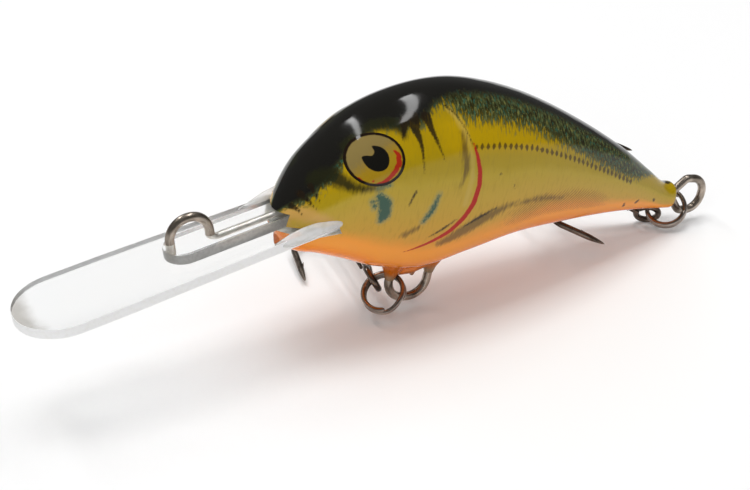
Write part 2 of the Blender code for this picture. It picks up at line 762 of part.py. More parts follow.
# Tail ring and treble, on the loop's lower leg
tail_along = Vector((1, 0, -1)).normalized()
tail_point = Vector((BODY_LENGTH + TAIL_LOOP_NECK, 0, -TAIL_LEG_SPACING / 2)) + tail_along * TAIL_RING_AT
tail_pivots = add_ring_and_treble(
    "tail",
    body.matrix_world @ tail_point,
    body.matrix_world.to_3x3() @ tail_along,
    TAIL_RING_FIT,
    direction(TAIL_RING_AZIMUTH, TAIL_RING_RISE),
    TAIL_RING_HANG,
    TAIL_HOOK_AT,
    direction(TAIL_HOOK_YAW, TAIL_HOOK_RISE),
    body,
)

# The origin goes under the middle of the whole lure, on the table
bpy.context.view_layer.update()
low, high = object_bounds()
lure.location = (-(low.x + high.x) / 2, -(low.y + high.y) / 2, -low.z)
bpy.context.view_layer.update()

print("size mm", [round(v / MM, 2) for v in high - low])
print("split ring: least gap to itself, mm", round(least_gap(ring_points(), RING_WIRE) / MM, 3))
for pivot in belly_pivots + tail_pivots:
    place = pivot.matrix_world
    print(pivot.name, [round(v, 6) for v in place.translation], [round(v, 5) for v in place.to_3x3().col[2]])
underside = bill_frame.matrix_world @ Vector(((BILL_REACH + STEP_FROM_NOSE) / 2, BILL_WIDTH / 4, -BILL_THICKNESS))
print("bill underside", [round(v, 6) for v in underside], [round(-v, 5) for v in bill_frame.matrix_world.col[2][:3]])
tie = bill_frame.matrix_world @ Vector((TIE_FRONT - TIE_WIDTH / 2, 0, TIE_HEIGHT - WIRE_DIAMETER / 2))
print("line tie", [round(v, 6) for v in tie], [round(v, 5) for v in bill_frame.matrix_world.col[0][:3]])
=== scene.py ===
import math

import bmesh
import bpy
import numpy as np
from mathutils import Matrix, Vector


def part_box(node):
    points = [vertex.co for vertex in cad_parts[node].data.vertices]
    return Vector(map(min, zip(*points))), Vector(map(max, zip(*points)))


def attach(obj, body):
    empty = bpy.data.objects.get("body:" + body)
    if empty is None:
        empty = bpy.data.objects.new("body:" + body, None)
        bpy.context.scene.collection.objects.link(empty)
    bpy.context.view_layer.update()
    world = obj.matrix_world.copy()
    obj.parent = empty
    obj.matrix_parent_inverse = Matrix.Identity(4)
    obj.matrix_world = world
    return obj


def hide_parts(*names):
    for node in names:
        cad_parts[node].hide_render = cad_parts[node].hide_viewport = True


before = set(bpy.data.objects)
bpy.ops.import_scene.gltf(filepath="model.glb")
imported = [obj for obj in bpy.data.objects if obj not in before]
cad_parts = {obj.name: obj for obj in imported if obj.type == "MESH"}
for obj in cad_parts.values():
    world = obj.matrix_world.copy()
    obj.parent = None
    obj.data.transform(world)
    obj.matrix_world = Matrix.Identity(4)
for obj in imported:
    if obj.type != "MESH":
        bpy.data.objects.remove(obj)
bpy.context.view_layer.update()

# The body: two halves of light wood, carved to one fish shape and glued round the wire and the weight.
# It is primed, airbrushed in a fish's colours, lined with a fine brush and dipped in clear lacquer.
# The mouth is a saw cut for the bill, and each cheek has a shallow pocket for an eye.

# Lengths are in millimetres and angles in degrees. In the body's frame +X runs from the nose to the tail.
MM = 0.001
BODY_LENGTH = 60.0
BACK_HEIGHT = 15.29
BELLY_DEPTH = 8.0
BODY_WIDTH = 14.28
NOSE_ROUND = 4.0
TAIL_ROUND = 0.7
TAIL_FLAT = 0.6              # share of the tail's section that ends flat
SNOUT_DROP = 1.6
SECTION_POWER = 2.25
WIDEST_SHARE = 0.45
BODY_PITCH = 14.0
BALLAST_MIDDLE = Vector((12.5, 0.0, -3.7))

# Shares of the body's length, back height, belly depth and half width, from the nose to the tail
OUTLINE = (
    (0.000, 0.02, 0.66, 0.46),
    (0.035, 0.24, 0.68, 0.62),
    (0.085, 0.50, 0.70, 0.79),
    (0.150, 0.74, 0.80, 0.93),
    (0.235, 0.91, 0.96, 0.99),
    (0.335, 1.00, 1.00, 1.00),
    (0.435, 0.98, 0.77, 0.97),
    (0.550, 0.88, 0.50, 0.87),
    (0.685, 0.69, 0.34, 0.68),
    (0.815, 0.46, 0.24, 0.47),
    (0.915, 0.24, 0.21, 0.31),
    (0.965, 0.13, 0.21, 0.25),
    (1.000, 0.12, 0.21, 0.23),
)
NOSE_STATIONS = 26
BODY_STATIONS = 240
TAIL_STATIONS = 6
SECTION_STEPS = 130
SKIN_MEASURES = ("along", "turn", "back", "belly", "half_width")
MERGE = 1e-5
SMOOTH_ANGLE = 40.0

# The weight's middle is the one point of the body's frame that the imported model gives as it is.
ballast_low, ballast_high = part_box("keel_ballast")
tilt = Matrix.Rotation(math.radians(BODY_PITCH), 4, "Y") @ Matrix.Diagonal((MM, MM, MM, 1.0))
body_to_row = Matrix.Translation((ballast_low + ballast_high) / 2 - tilt @ BALLAST_MIDDLE) @ tilt


def outline_value(column, share):
    """A smooth curve through one column of the outline."""
    index = 0
    while index < len(OUTLINE) - 2 and share > OUTLINE[index + 1][0]:
        index += 1

    def slope(at):
        low = OUTLINE[max(at - 1, 0)]
        high = OUTLINE[min(at + 1, len(OUTLINE) - 1)]
        return (high[column] - low[column]) / (high[0] - low[0])

    left, right = OUTLINE[index], OUTLINE[index + 1]
    span = right[0] - left[0]
    t = (share - left[0]) / span
    return (
        (2 * t**3 - 3 * t**2 + 1) * left[column]
        + (t**3 - 2 * t**2 + t) * span * slope(index)
        + (3 * t**2 - 2 * t**3) * right[column]
        + (t**3 - t**2) * span * slope(index + 1)
    )


def body_section(along):
    """Back, belly and half width of the body at a distance from the nose."""
    along = min(max(along, 0.0), BODY_LENGTH)
    share = along / BODY_LENGTH
    closing = 1.0
    if along < NOSE_ROUND:
        closing = math.sqrt(1.0 - (1.0 - along / NOSE_ROUND) ** 2)
    past = (along - BODY_LENGTH + TAIL_ROUND) / TAIL_ROUND
    if past > 0.0:
        closing = TAIL_FLAT + (1.0 - TAIL_FLAT) * math.sqrt(max(1.0 - past * past, 0.0))
    back = outline_value(1, share) * BACK_HEIGHT
    belly = -outline_value(2, share) * BELLY_DEPTH
    width = outline_value(3, share) * BODY_WIDTH / 2
    middle = -SNOUT_DROP if along < NOSE_ROUND else 0.0
    return middle + (back - middle) * closing, middle + (belly - middle) * closing, width * closing


def skin_point(along, turn, side):
    """A point on the skin. turn runs from -90 at the belly to 90 at the back, side is -1 on the left."""
    back, belly, width = body_section(along)
    middle = belly + (back - belly) * WIDEST_SHARE
    sine = math.sin(math.radians(turn))
    rise = math.copysign(abs(sine) ** (2 / SECTION_POWER), sine)
    out = max(math.cos(math.radians(turn)), 0.0) ** (2 / SECTION_POWER)
    height = middle + rise * ((back - middle) if rise > 0 else (middle - belly))
    return Vector((along, side * width * out, height))


def skin_turn(along, height):
    """The turn at which the skin has a height."""
    back, belly, _ = body_section(along)
    middle = belly + (back - belly) * WIDEST_SHARE
    reach = (back - middle) if height > middle else (middle - belly)
    rise = min(max((height - middle) / max(reach, 1e-6), -1.0), 1.0)
    return math.degrees(math.asin(math.copysign(abs(rise) ** (SECTION_POWER / 2), rise)))


def linear(hex_colour):
    """An sRGB hex colour as the linear colour that a shader takes."""
    shares = [int(hex_colour[at:at + 2], 16) / 255 for at in (1, 3, 5)]
    return (*[c / 12.92 if c <= 0.04045 else ((c + 0.055) / 1.055) ** 2.4 for c in shares], 1.0)


def set_inputs(node, inputs):
    """Links each input from a socket, or sets it to a value or a hex colour."""
    for name, value in inputs.items():
        if isinstance(value, bpy.types.NodeSocket):
            node.id_data.links.new(value, node.inputs[name])
        else:
            is_colour = isinstance(value, str) and value.startswith("#")
            node.inputs[name].default_value = linear(value) if is_colour else value


def add_node(tree, kind, inputs=None, output=0, **settings):
    """Adds a node with its settings and inputs, and gives one of its outputs."""
    node = tree.nodes.new(kind)
    for name, value in settings.items():
        if name == "stops":
            ramp = node.color_ramp.elements
            for end in (0, -1):
                ramp[end].position, ramp[end].color = value[end][0], linear(value[end][1])
            for place, colour in value[1:-1]:
                ramp.new(place).color = linear(colour)
        else:
            setattr(node, name, value)
    set_inputs(node, inputs or {})
    return node.outputs[output]


def new_material(name):
    """A named material, its node tree and its shader."""
    material = bpy.data.materials.new(name)
    material.use_nodes = True
    return material, material.node_tree, material.node_tree.nodes["Principled BSDF"]


def new_piece(name, data):
    piece = bpy.data.objects.new(name, data)
    bpy.context.scene.collection.objects.link(piece)
    return piece


def new_mesh(name, bm):
    """A mesh from a bmesh, which is freed."""
    mesh = bpy.data.meshes.new(name)
    bm.to_mesh(mesh)
    bm.free()
    return mesh


def settle(maker, name):
    """A piece with a plain mesh, from an object and its modifiers. That object is removed."""
    graph = bpy.context.evaluated_depsgraph_get()
    evaluated = maker.evaluated_get(graph)
    mesh = bpy.data.meshes.new_from_object(evaluated, preserve_all_data_layers=True, depsgraph=graph)
    bpy.data.objects.remove(maker)
    mesh.name = name
    return new_piece(name, mesh)


def clean_mesh(mesh, smooth_angle=SMOOTH_ANGLE, merge=MERGE):
    """Closes doubles, points the faces out and keeps only real edges sharp."""
    bm = bmesh.new()
    bm.from_mesh(mesh)
    bmesh.ops.remove_doubles(bm, verts=bm.verts, dist=merge)
    bmesh.ops.dissolve_degenerate(bm, edges=bm.edges, dist=merge)
    bmesh.ops.recalc_face_normals(bm, faces=bm.faces)
    bm.to_mesh(mesh)
    bm.free()
    mesh.shade_smooth()
    mesh.set_sharp_from_angle(angle=math.radians(smooth_angle))


def cut(piece, tools, operation="DIFFERENCE"):
    """Cuts the tools out of a piece, or joins them to it. Cut faces take the tool's material."""
    for tool in tools:
        modifier = piece.modifiers.new(tool.name, "BOOLEAN")
        modifier.operation = operation
        modifier.material_mode = "TRANSFER"
        modifier.object = tool
    return settle(piece, piece.name)


def write_marks(mesh, marks):
    """Keeps named values on a mesh's points, for its tree or its material to read."""
    for name, values in marks.items():
        layer = mesh.attributes.new(name, "FLOAT", "POINT")
        layer.data.foreach_set("value", np.asarray(values, np.float32))


def body_grid(name):
    """A grid of stations and turns, closed at the seam and the tail, with its measures on its points."""
    quarter = math.pi / 2
    tail = BODY_LENGTH - TAIL_ROUND
    stations = [NOSE_ROUND * (1 - math.cos(quarter * step / NOSE_STATIONS)) for step in range(NOSE_STATIONS)]
    stations += np.linspace(NOSE_ROUND, tail, BODY_STATIONS).tolist()
    for step in range(1, TAIL_STATIONS + 1):
        stations.append(tail + TAIL_ROUND * math.sin(quarter * step / TAIL_STATIONS))
    turns = np.linspace(-90.0, 90.0, SECTION_STEPS + 1)
    wide = len(turns)
    last = (len(stations) - 1) * wide
    faces = []
    for corner in range(0, last, wide):
        for column in range(wide):
            beside = (column + 1) % wide
            faces.append((corner + column, corner + beside, corner + wide + beside, corner + wide + column))
    faces.append(tuple(range(last, last + wide)))
    mesh = bpy.data.meshes.new(name)
    mesh.from_pydata([(0.0, 0.0, 0.0)] * (len(stations) * wide), [], faces)
    sections = zip(*[body_section(along) for along in stations])
    by_station = [np.repeat(values, wide) for values in (stations, *sections)]
    by_station.insert(1, np.tile(turns, len(stations)))
    write_marks(mesh, dict(zip(SKIN_MEASURES, by_station)))
    return mesh


def new_tree(name, sizes):
    """A geometry node tree with named inputs, and the sockets that give them."""
    tree = bpy.data.node_groups.new(name, "GeometryNodeTree")
    for socket, kind in {"Geometry": "Geometry", **sizes, "Finish": "Material"}.items():
        tree.interface.new_socket(socket, in_out="INPUT", socket_type=f"NodeSocket{kind}")
    tree.interface.new_socket("Geometry", in_out="OUTPUT", socket_type="NodeSocketGeometry")
    return tree, tree.nodes.new("NodeGroupInput").outputs


def end_tree(tree, geometry, finish):
    """Ends a tree in real geometry with its material."""
    real = add_node(tree, "GeometryNodeRealizeInstances", {"Geometry": geometry})
    finished = add_node(tree, "GeometryNodeSetMaterial", {"Geometry": real, "Material": finish})
    set_inputs(tree.nodes.new("NodeGroupOutput"), {0: finished})
    return tree


def skin_tree():
    """Lays a grid of stations and turns on the fish shape: each section is a squared ellipse."""
    tree, given = new_tree("fish_skin", {"Section Power": "Float", "Widest Share": "Float", "Side": "Float"})
    known = {name: given[name] for name in ("Section Power", "Widest Share", "Side")}
    for name in SKIN_MEASURES:
        known[name] = add_node(
            tree, "GeometryNodeInputNamedAttribute", {"Name": name}, "Attribute", data_type="FLOAT"
        )
    # Each step names its result, then the operation and its terms.
    steps = (
        ("power", "DIVIDE", 2.0, "Section Power"),
        ("angle", "RADIANS", "turn"),
        ("sine", "SINE", "angle"),
        ("sign", "SIGN", "sine"),
        ("size", "ABSOLUTE", "sine"),
        ("bent", "POWER", "size", "power"),
        ("rise", "MULTIPLY", "sign", "bent"),
        ("cosine", "COSINE", "angle"),
        ("open", "MAXIMUM", "cosine", 0.0),
        ("out", "POWER", "open", "power"),
        ("tall", "SUBTRACT", "back", "belly"),
        ("middle", "MULTIPLY_ADD", "tall", "Widest Share", "belly"),
        ("up", "MAXIMUM", "rise", 0.0),
        ("upper", "SUBTRACT", "back", "middle"),
        ("above", "MULTIPLY", "up", "upper"),
        ("down", "MINIMUM", "rise", 0.0),
        ("lower", "SUBTRACT", "middle", "belly"),
        ("below", "MULTIPLY", "down", "lower"),
        ("offset", "ADD", "above", "below"),
        ("height", "ADD", "middle", "offset"),
        ("half", "MULTIPLY", "half_width", "out"),
        ("across", "MULTIPLY", "Side", "half"),
    )
    for name, operation, *terms in steps:
        inputs = {index: known.get(term, term) for index, term in enumerate(terms)}
        known[name] = add_node(tree, "ShaderNodeMath", inputs, operation=operation)
    place = add_node(
        tree, "ShaderNodeCombineXYZ", {0: known["along"], 1: known["across"], 2: known["height"]}
    )
    laid = add_node(tree, "GeometryNodeSetPosition", {"Geometry": given["Geometry"], "Position": place})
    joined = add_node(tree, "GeometryNodeMergeByDistance", {"Geometry": laid, "Distance": MERGE})
    return end_tree(tree, joined, given["Finish"])


def grow(maker, tree, **sizes):
    """Puts a node tree on an object, with its named inputs set by their identifiers."""
    modifier = maker.modifiers.new(tree.name, "NODES")
    modifier.node_group = tree
    for item in tree.interface.items_tree:
        key = item.name.lower().replace(" ", "_")
        if item.in_out == "INPUT" and key in sizes:
            modifier[item.identifier] = sizes[key]
    return maker


# The livery is drawn on the skin by distance from the nose (mm) and turn (degrees).
# Each brush stroke is a run of (along, turn, half width in mm).
STROKES = {
    "red_line": [
        [(21.1, 32, 0.1), (21.8, 24, 0.24), (22.4, 16, 0.3), (22.7, 8, 0.34), (22.5, 0, 0.36),
         (21.6, -8, 0.36), (20.2, -16, 0.32), (18.2, -23, 0.24), (16.4, -29, 0.15), (14.9, -34, 0.04)],
    ],
    "ink": [
        [(1.9, 60, 0.4), (2.2, 45, 0.3), (2.5, 32, 0.2), (3.1, 17, 0.05)],
        [(2.7, 56, 0.3), (2.9, 40, 0.2), (3.4, 22, 0.04)],
        [(1.2, 50, 0.35), (1.6, 34, 0.22), (2.0, 18, 0.05)],
        [(12.4, 58, 0.6), (12.2, 50, 0.3), (11.9, 44, 0.08)],
        [(13.3, 58, 0.9), (13.6, 47, 0.45), (14.1, 38, 0.26), (14.4, 30, 0.15), (14.8, 18, 0.04)],
        [(15.0, 56, 0.6), (15.5, 45, 0.32), (16.2, 36, 0.2), (17.4, 23, 0.03)],
        [(17.6, 61, 0.16), (18.6, 54, 0.1), (19.5, 46, 0.08), (20.2, 39, 0.07), (21.0, 31, 0.08)],
        [(14.1, 9, 0.16), (13.5, 2, 0.1)],
        [(20.6, -8, 0.06), (19.1, -13.5, 0.18), (17.5, -19, 0.06)],
        [(22.0, -15, 0.08), (24.0, -10.5, 0.2), (26.2, -6.5, 0.06)],
        [(49.6, -24, 0.14), (49.8, -31, 0.22)],
        [(52.2, -14, 0.14), (51.9, -20, 0.24)],
        [(55.2, -5, 0.15), (55.4, -9, 0.2)],
        [(25.5, 12.4, 0.12), (25.7, 12.2, 0.1)],
        [(28.2, 3.2, 0.1), (28.0, 5.0, 0.08)],
        [(57.5, 88, 0.5), (58.6, 88, 0.5)],
    ],
    "shade": [
        [(3.0, 60, 0.9), (4.2, 48, 0.9), (4.9, 38, 0.85), (5.5, 30, 0.7), (6.5, 22, 0.55), (7.8, 17, 0.4),
         (9.6, 14.5, 0.2)],
        [(6.2, 66, 0.7), (9.0, 68, 0.7), (11.6, 57, 0.7), (12.2, 46, 0.25)],
    ],
    "smear": [
        [(19.4, 40, 0.15), (20.0, 28, 0.45), (20.5, 18, 0.45), (20.2, 10, 0.2)],
        [(19.4, -26, 0.4), (21.6, -20, 0.8), (24.4, -13, 0.8), (27.5, -8, 0.4), (29.5, -5, 0.1)],
        [(15.6, -11, 0.22), (14.0, -17, 0.36)],
        [(29.0, -8, 0.1), (33.0, -6, 0.3), (37.0, -8, 0.1)],
    ],
    "teal": [
        [(9.6, 9, 0.6), (10.4, 4, 0.95), (10.6, -1, 0.9), (10.3, -5, 0.5)],
        [(8.8, 7, 0.35), (9.2, 3, 0.4)],
        [(9.2, 14.5, 0.2), (10.6, 15.5, 0.3)],
        [(17.3, 6, 0.3), (16.9, 0, 0.5), (16.0, -7, 0.4)],
    ],
    "pale": [
        [(17.9, 58, 0.2), (19.0, 49, 0.35), (20.0, 38, 0.35), (21.0, 24, 0.3), (21.5, 12, 0.3),
         (21.3, 0, 0.25)],
    ],
    "cream": [
        [(0.3, 14, 0.9), (1.0, 32, 0.8), (2.2, 18, 0.9), (3.4, 6, 0.6), (4.6, 0, 0.3)],
    ],
    "lateral": [
        [(21.6, 29.5, 0.0), (25, 29.5, 0.0), (30, 28.5, 0.0), (34, 26, 0.0), (38, 24, 0.0), (42, 21, 0.0),
         (46, 18, 0.0), (49.5, 14.5, 0.0)],
    ],
}
# Edges of the airbrushed zones: turn by distance from the nose
BACK_EDGE = ((0, 64), (0.8, 50), (1.6, 38), (2.4, 33), (4, 36), (5.3, 41), (6.4, 62), (8, 66), (10, 58),
             (12, 52), (14.5, 49), (15.3, 55), (16.5, 61), (18, 60), (19.5, 50), (21, 46), (26, 44),
             (30, 42), (35, 34), (40, 28), (45, 22), (48, 18), (51, 22), (54, 48), (57, 84))
BLACK_EDGE = ((0, 72), (0.8, 60), (1.8, 47), (2.8, 42), (5, 52), (7, 67), (10, 62), (14.5, 54), (16.5, 65),
              (19, 70), (26, 70), (32, 66), (40, 62), (47, 60), (52, 70), (56, 90))
BELLY_EDGE = ((0, -4), (3, -8), (5, -15), (8, -20), (12, -26), (16, -29), (20, -26), (25, -23), (30, -21),
              (34, -16), (40, -14), (46, -18), (50, -20), (55, -14), (58, -22), (60, -24))
# How strong the gold band and the hatching are, by distance from the nose and by turn
GOLD_ALONG = ((16, 0.4), (19, 1), (30, 1), (40, 0))
GOLD_ACROSS = ((22, 0), (32, 1), (46, 1), (56, 0))
HATCH_ALONG = ((26, 0), (32, 1), (43, 1), (48, 0))
HATCH_OVER_BELLY = ((-16, 0), (-6, 1), (8, 1), (20, 0))
ZONES = ("along_mm", "girth_mm", "under_back", "under_black", "over_belly", "gold_band", "hatching")
MM_PER_DEGREE = 0.165
STROKE_STEPS = 5
FAR = 3.0


def brushed_gap(points, knots):
    """Distance of points from the edge of a line through (place, half width), less than zero inside it."""
    gap = np.full(len(points), FAR)
    for (tail, tail_wide), (head, head_wide) in zip(knots, knots[1:]):
        run = head - tail
        share = np.clip((points - tail) @ run / max(run @ run, 1e-9), 0.0, 1.0)
        away = np.linalg.norm(points - tail - share[:, None] * run, axis=1)
        gap = np.minimum(gap, away - tail_wide - share * (head_wide - tail_wide))
    return gap


def stroke_knots(stroke, side):
    """A stroke's places on the skin, close enough together to follow it."""
    stops = [stroke[0]]
    for start, end in zip(stroke, stroke[1:]):
        for step in range(1, STROKE_STEPS + 1):
            stops.append([a + (b - a) * step / STROKE_STEPS for a, b in zip(start, end)])
    return [(np.array(skin_point(along, turn, side)), wide) for along, turn, wide in stops]


def mark_livery(mesh, side):
    """Writes on each point where it lies on the fish and how far it is from each stroke and zone."""
    def graded(values, knots):
        return np.interp(values, *zip(*knots))

    points = np.array([vert.co for vert in mesh.vertices])
    along = points[:, 0]
    turn = np.array([skin_turn(x, z) for x, _, z in points])
    over_belly = turn - graded(along, BELLY_EDGE)
    zones = (
        along,
        turn * MM_PER_DEGREE,
        graded(along, BACK_EDGE) - turn,
        graded(along, BLACK_EDGE) - turn,
        over_belly,
        graded(along, GOLD_ALONG) * graded(turn, GOLD_ACROSS),
        graded(along, HATCH_ALONG) * graded(over_belly, HATCH_OVER_BELLY),
    )
    marks = dict(zip(ZONES, zones))
    for pot, strokes in STROKES.items():
        marks[pot] = np.min([brushed_gap(points, stroke_knots(stroke, side)) for stroke in strokes], axis=0)
    write_marks(mesh, marks)
    for measure in SKIN_MEASURES:
        mesh.attributes.remove(mesh.attributes[measure])


# Colours of the flank from the belly up, and of the back's scales from dark to light
FLANK_TONES = (
    (0.075, "#da8c2e"), (0.333, "#ca9a36"), (0.488, "#c29f38"), (0.611, "#b99e2e"), (0.673, "#ad9318"),
    (0.797, "#ab8f08"), (0.95, "#a88b06"),
)
SCALE_TONES = (
    (0.3, "#0c0e08"), (0.42, "#1d210f"), (0.5, "#30351b"), (0.57, "#3c4a2c"), (0.65, "#67693a"),
    (0.76, "#8c8036"),
)
FLANK_LOW = -7.0
FLANK_HIGH = 9.0
SPRAY_WAVER = 1.6
HAIR_SLANT = 10.0
HATCH_SLANT = 38.0
TICK_SPACING = 0.85
PATTERN_SHIFT = 10.0         # keeps the two sides' patterns apart


def brush(tree, below, colour, edge, soft, cover=1.0, grain=None, rag=0.0, shift=0.0):
    """Lays a colour over another where edge is below shift, fading over soft. grain makes it ragged."""
    if grain:
        edge = add_node(tree, "ShaderNodeMath", {0: grain, 1: rag, 2: edge}, operation="MULTIPLY_ADD")
        shift += rag / 2
    start, end = shift - soft, shift + soft
    fade = {"Value": edge, "From Min": start, "From Max": end, "To Min": cover, "To Max": 0.0}
    mask = add_node(tree, "ShaderNodeMapRange", fade, interpolation_type="SMOOTHSTEP")
    return add_node(tree, "ShaderNodeMix", {0: mask, 6: below, 7: colour}, 2, data_type="RGBA")


def lacquered_livery(name, depth):
    """Airbrushed enamel on wood under clear lacquer: soft bands, sharp brush lines and a wet, even gloss."""
    material, tree, shader = new_material(name)
    marks = {}
    for mark in (*ZONES, *STROKES):
        marks[mark] = add_node(tree, "ShaderNodeAttribute", output="Fac", attribute_name=mark)
    skin = add_node(tree, "ShaderNodeCombineXYZ", {0: marks["along_mm"], 1: marks["girth_mm"], 2: depth})
    # Spray unevenness of about 4 mm and pigment specks of 0.25 mm
    mottle = add_node(tree, "ShaderNodeTexNoise", {"Vector": skin, "Scale": 1 / 4, "Detail": 3.0})
    speck = add_node(tree, "ShaderNodeTexNoise", {"Vector": skin, "Scale": 1 / 0.25, "Detail": 2.0})
    # Brush hair marks 0.3 mm wide and 1.3 mm long, and scale glints 0.3 mm wide and 0.9 mm long
    hairs = {"Vector": skin, "Rotation": (0.0, 0.0, math.radians(HAIR_SLANT)), "Scale": (3.4, 0.75, 1.0)}
    hairs = add_node(tree, "ShaderNodeMapping", hairs)
    streak = add_node(tree, "ShaderNodeTexNoise", {"Vector": hairs, "Scale": 1.0, "Detail": 4.0})
    scales = {"Vector": skin, "Location": (7.0, 3.0, 0.0), "Scale": (3.4, 1.1, 1.0)}
    scales = add_node(tree, "ShaderNodeMapping", scales)
    glint = add_node(tree, "ShaderNodeTexNoise", {"Vector": scales, "Scale": 1.0, "Detail": 2.0})

    # Each layer of paint is (colour, edge, softness, cover, grain, raggedness, shift), as brush takes them.
    # Flank: gold above and tan below, streaked by the brush, with orange sprayed up from the belly
    wavy = {0: mottle, 1: SPRAY_WAVER, 2: marks["girth_mm"]}
    wavy = add_node(tree, "ShaderNodeMath", wavy, operation="MULTIPLY_ADD")
    height = {"Value": wavy, "From Min": FLANK_LOW, "From Max": FLANK_HIGH}
    height = add_node(tree, "ShaderNodeMapRange", height)
    colour = add_node(tree, "ShaderNodeValToRGB", {"Fac": height}, stops=FLANK_TONES)
    bare = add_node(tree, "ShaderNodeMath", {0: marks["gold_band"], 1: -1.0}, operation="MULTIPLY")
    flank = (
        ("#be9b02", bare, 0.5, 0.9, None, 0.0, -0.5),
        ("#8a7420", streak, 0.09, 0.16, None, 0.0, 0.42),
        ("#cdb56c", marks["pale"], 0.4, 0.35, streak, 0.6),
        ("#cfa25a", marks["cream"], 0.6, 0.85, streak, 0.5),
        ("#f29a34", marks["over_belly"], 9.0, 1.0, mottle, 14.0),
        ("#f08008", marks["over_belly"], 12.0, 0.9, mottle, 10.0, -24.0),
    )
    # Hatching of fine brown lines, 0.4 mm apart
    slant = {"Vector": skin, "Rotation": (0.0, 0.0, math.radians(HATCH_SLANT))}
    slant = add_node(tree, "ShaderNodeMapping", slant)
    lines = {"Vector": slant, "Scale": 0.78, "Distortion": 2.5, "Detail": 2.0}
    lines = add_node(tree, "ShaderNodeTexWave", lines, "Fac")
    drawn = add_node(tree, "ShaderNodeMath", {0: lines, 1: marks["hatching"]}, operation="MULTIPLY")
    clear = add_node(tree, "ShaderNodeMath", {0: drawn, 1: -1.0}, operation="MULTIPLY")
    hatching = ("#8e5626", clear, 0.25, 0.7, glint, 0.6, -0.45)

    # Back: rows of dark green scales with teal and straw glints, under a black spine
    shimmer = add_node(tree, "ShaderNodeValToRGB", {"Fac": streak}, stops=SCALE_TONES)
    dull = add_node(tree, "ShaderNodeMath", {0: glint, 1: -1.0}, operation="MULTIPLY")
    shimmer = brush(tree, shimmer, "#1f5c4e", dull, 0.05, 0.7, shift=-0.6)
    shimmer = brush(tree, shimmer, "#8f8a4c", speck, 0.06, 0.5, shift=0.34)
    back = (
        (shimmer, marks["under_back"], 6.0, 0.97, streak, -44.0),
        ("#171613", marks["under_black"], 7.0, 1.0, streak, -18.0),
    )

    # Brush work, from soft shading to sharp lines. The lateral line is a row of ticks.
    beat = {0: marks["along_mm"], 1: 2 * math.pi / TICK_SPACING}
    beat = add_node(tree, "ShaderNodeMath", beat, operation="MULTIPLY")
    ticks = add_node(tree, "ShaderNodeMath", {0: beat}, operation="SINE")
    uneven = add_node(tree, "ShaderNodeMath", {0: glint, 1: 2.5, 2: ticks}, operation="MULTIPLY_ADD")
    lines = (
        ("#1f200f", marks["shade"], 0.5, 0.93, streak, 0.9),
        ("#5a4423", marks["smear"], 0.4, 0.75, streak, 1.2),
        ("#74876a", marks["teal"], 0.45, 0.7, speck, 0.5),
        ("#114c46", marks["teal"], 0.25, 0.85, speck, 0.9, -0.2),
        ("#3c2a0e", marks["lateral"], 0.13, 0.8, uneven, -0.22),
        ("#20170c", marks["ink"], 0.13, 0.92, speck, 0.35),
        ("#b01c08", marks["red_line"], 0.08, 1.0, speck, 0.14),
    )
    for layer in (*flank, hatching, *back, *lines):
        colour = brush(tree, colour, *layer)

    # The enamel lies under lacquer of about its own index, so only the lacquer shines, with an orange peel
    # of about 2 mm. Its index is less than the real 1.5, so that a white table doesn't veil the colours.
    peel = add_node(tree, "ShaderNodeTexNoise", {"Vector": skin, "Scale": 1 / 2, "Detail": 1.0})
    peel = add_node(tree, "ShaderNodeBump", {"Strength": 0.2, "Distance": 0.1 * MM, "Height": peel})
    set_inputs(shader, {
        "Base Color": colour, "Specular IOR Level": 0.0, "Roughness": 0.5,
        "Coat Weight": 1.0, "Coat IOR": 1.35, "Coat Roughness": 0.1, "Coat Normal": peel,
    })
    return material


# The saw cut for the bill and the pockets for the eyes, as tools
BILL_ANGLE = 20.2
MOUTH_HEIGHT = -2.2
BILL_ROOT_WIDTH = 10.2
BILL_THICKNESS = 1.2
TANG_LENGTH = 8.5
SPINE_WIDTH = 4.8
SPINE_HEIGHT = 1.3
BILL_FIT = 0.03
SAW_CUT_WIDTH = 11.6
SAW_REACH = 20.0
EYE_FROM_NOSE = 8.7
EYE_HEIGHT = 7.65
EYE_LONG = 3.55              # half sizes, along and across
EYE_TALL = 3.0
EYE_DEPTH = 1.5
EYE_SIDES = 72
CHEEK_SPAN = 1.85            # each way from the eye's middle, to find how the cheek slopes
CLOUD_EDGE = 0.15
bill_in_body = (
    Matrix.Translation((0, 0, MOUTH_HEIGHT))
    @ Matrix.Rotation(math.radians(-BILL_ANGLE), 4, "Y")
    @ Matrix.Rotation(math.pi, 4, "Z")
)


def bill_tool(name, half_width, low, high, finish):
    """A block that cuts room for the tang, as wide and as high as given."""
    root = -TANG_LENGTH - BILL_FIT
    low, high = Vector((root, -half_width, low)), Vector((SAW_REACH, half_width, high))
    place = bill_in_body @ Matrix.Translation((low + high) / 2) @ Matrix.Diagonal((*(high - low), 1.0))
    bm = bmesh.new()
    bmesh.ops.create_cube(bm, size=1.0, matrix=place)
    tool = new_piece(name, new_mesh(name, bm))
    tool.data.materials.append(finish)
    return tool


def axes_matrix(origin, x_axis, z_axis):
    """A frame at origin with a given +Z and the +X nearest to x_axis."""
    z = z_axis.normalized()
    x = (x_axis - z * x_axis.dot(z)).normalized()
    matrix = Matrix((x, z.cross(x), z)).transposed().to_4x4()
    matrix.translation = origin
    return matrix


def eye_frame(side):
    """A frame on the cheek: +Z out of the skin, +X towards the tail, the origin on the skin."""
    def skin(along, up):
        along, height = EYE_FROM_NOSE + along, EYE_HEIGHT + up
        return skin_point(along, skin_turn(along, height), side)

    lengthwise = skin(CHEEK_SPAN, 0) - skin(-CHEEK_SPAN, 0)
    upwards = skin(0, CHEEK_SPAN) - skin(0, -CHEEK_SPAN)
    return axes_matrix(skin(0, 0), lengthwise, lengthwise.cross(upwards) * -side)


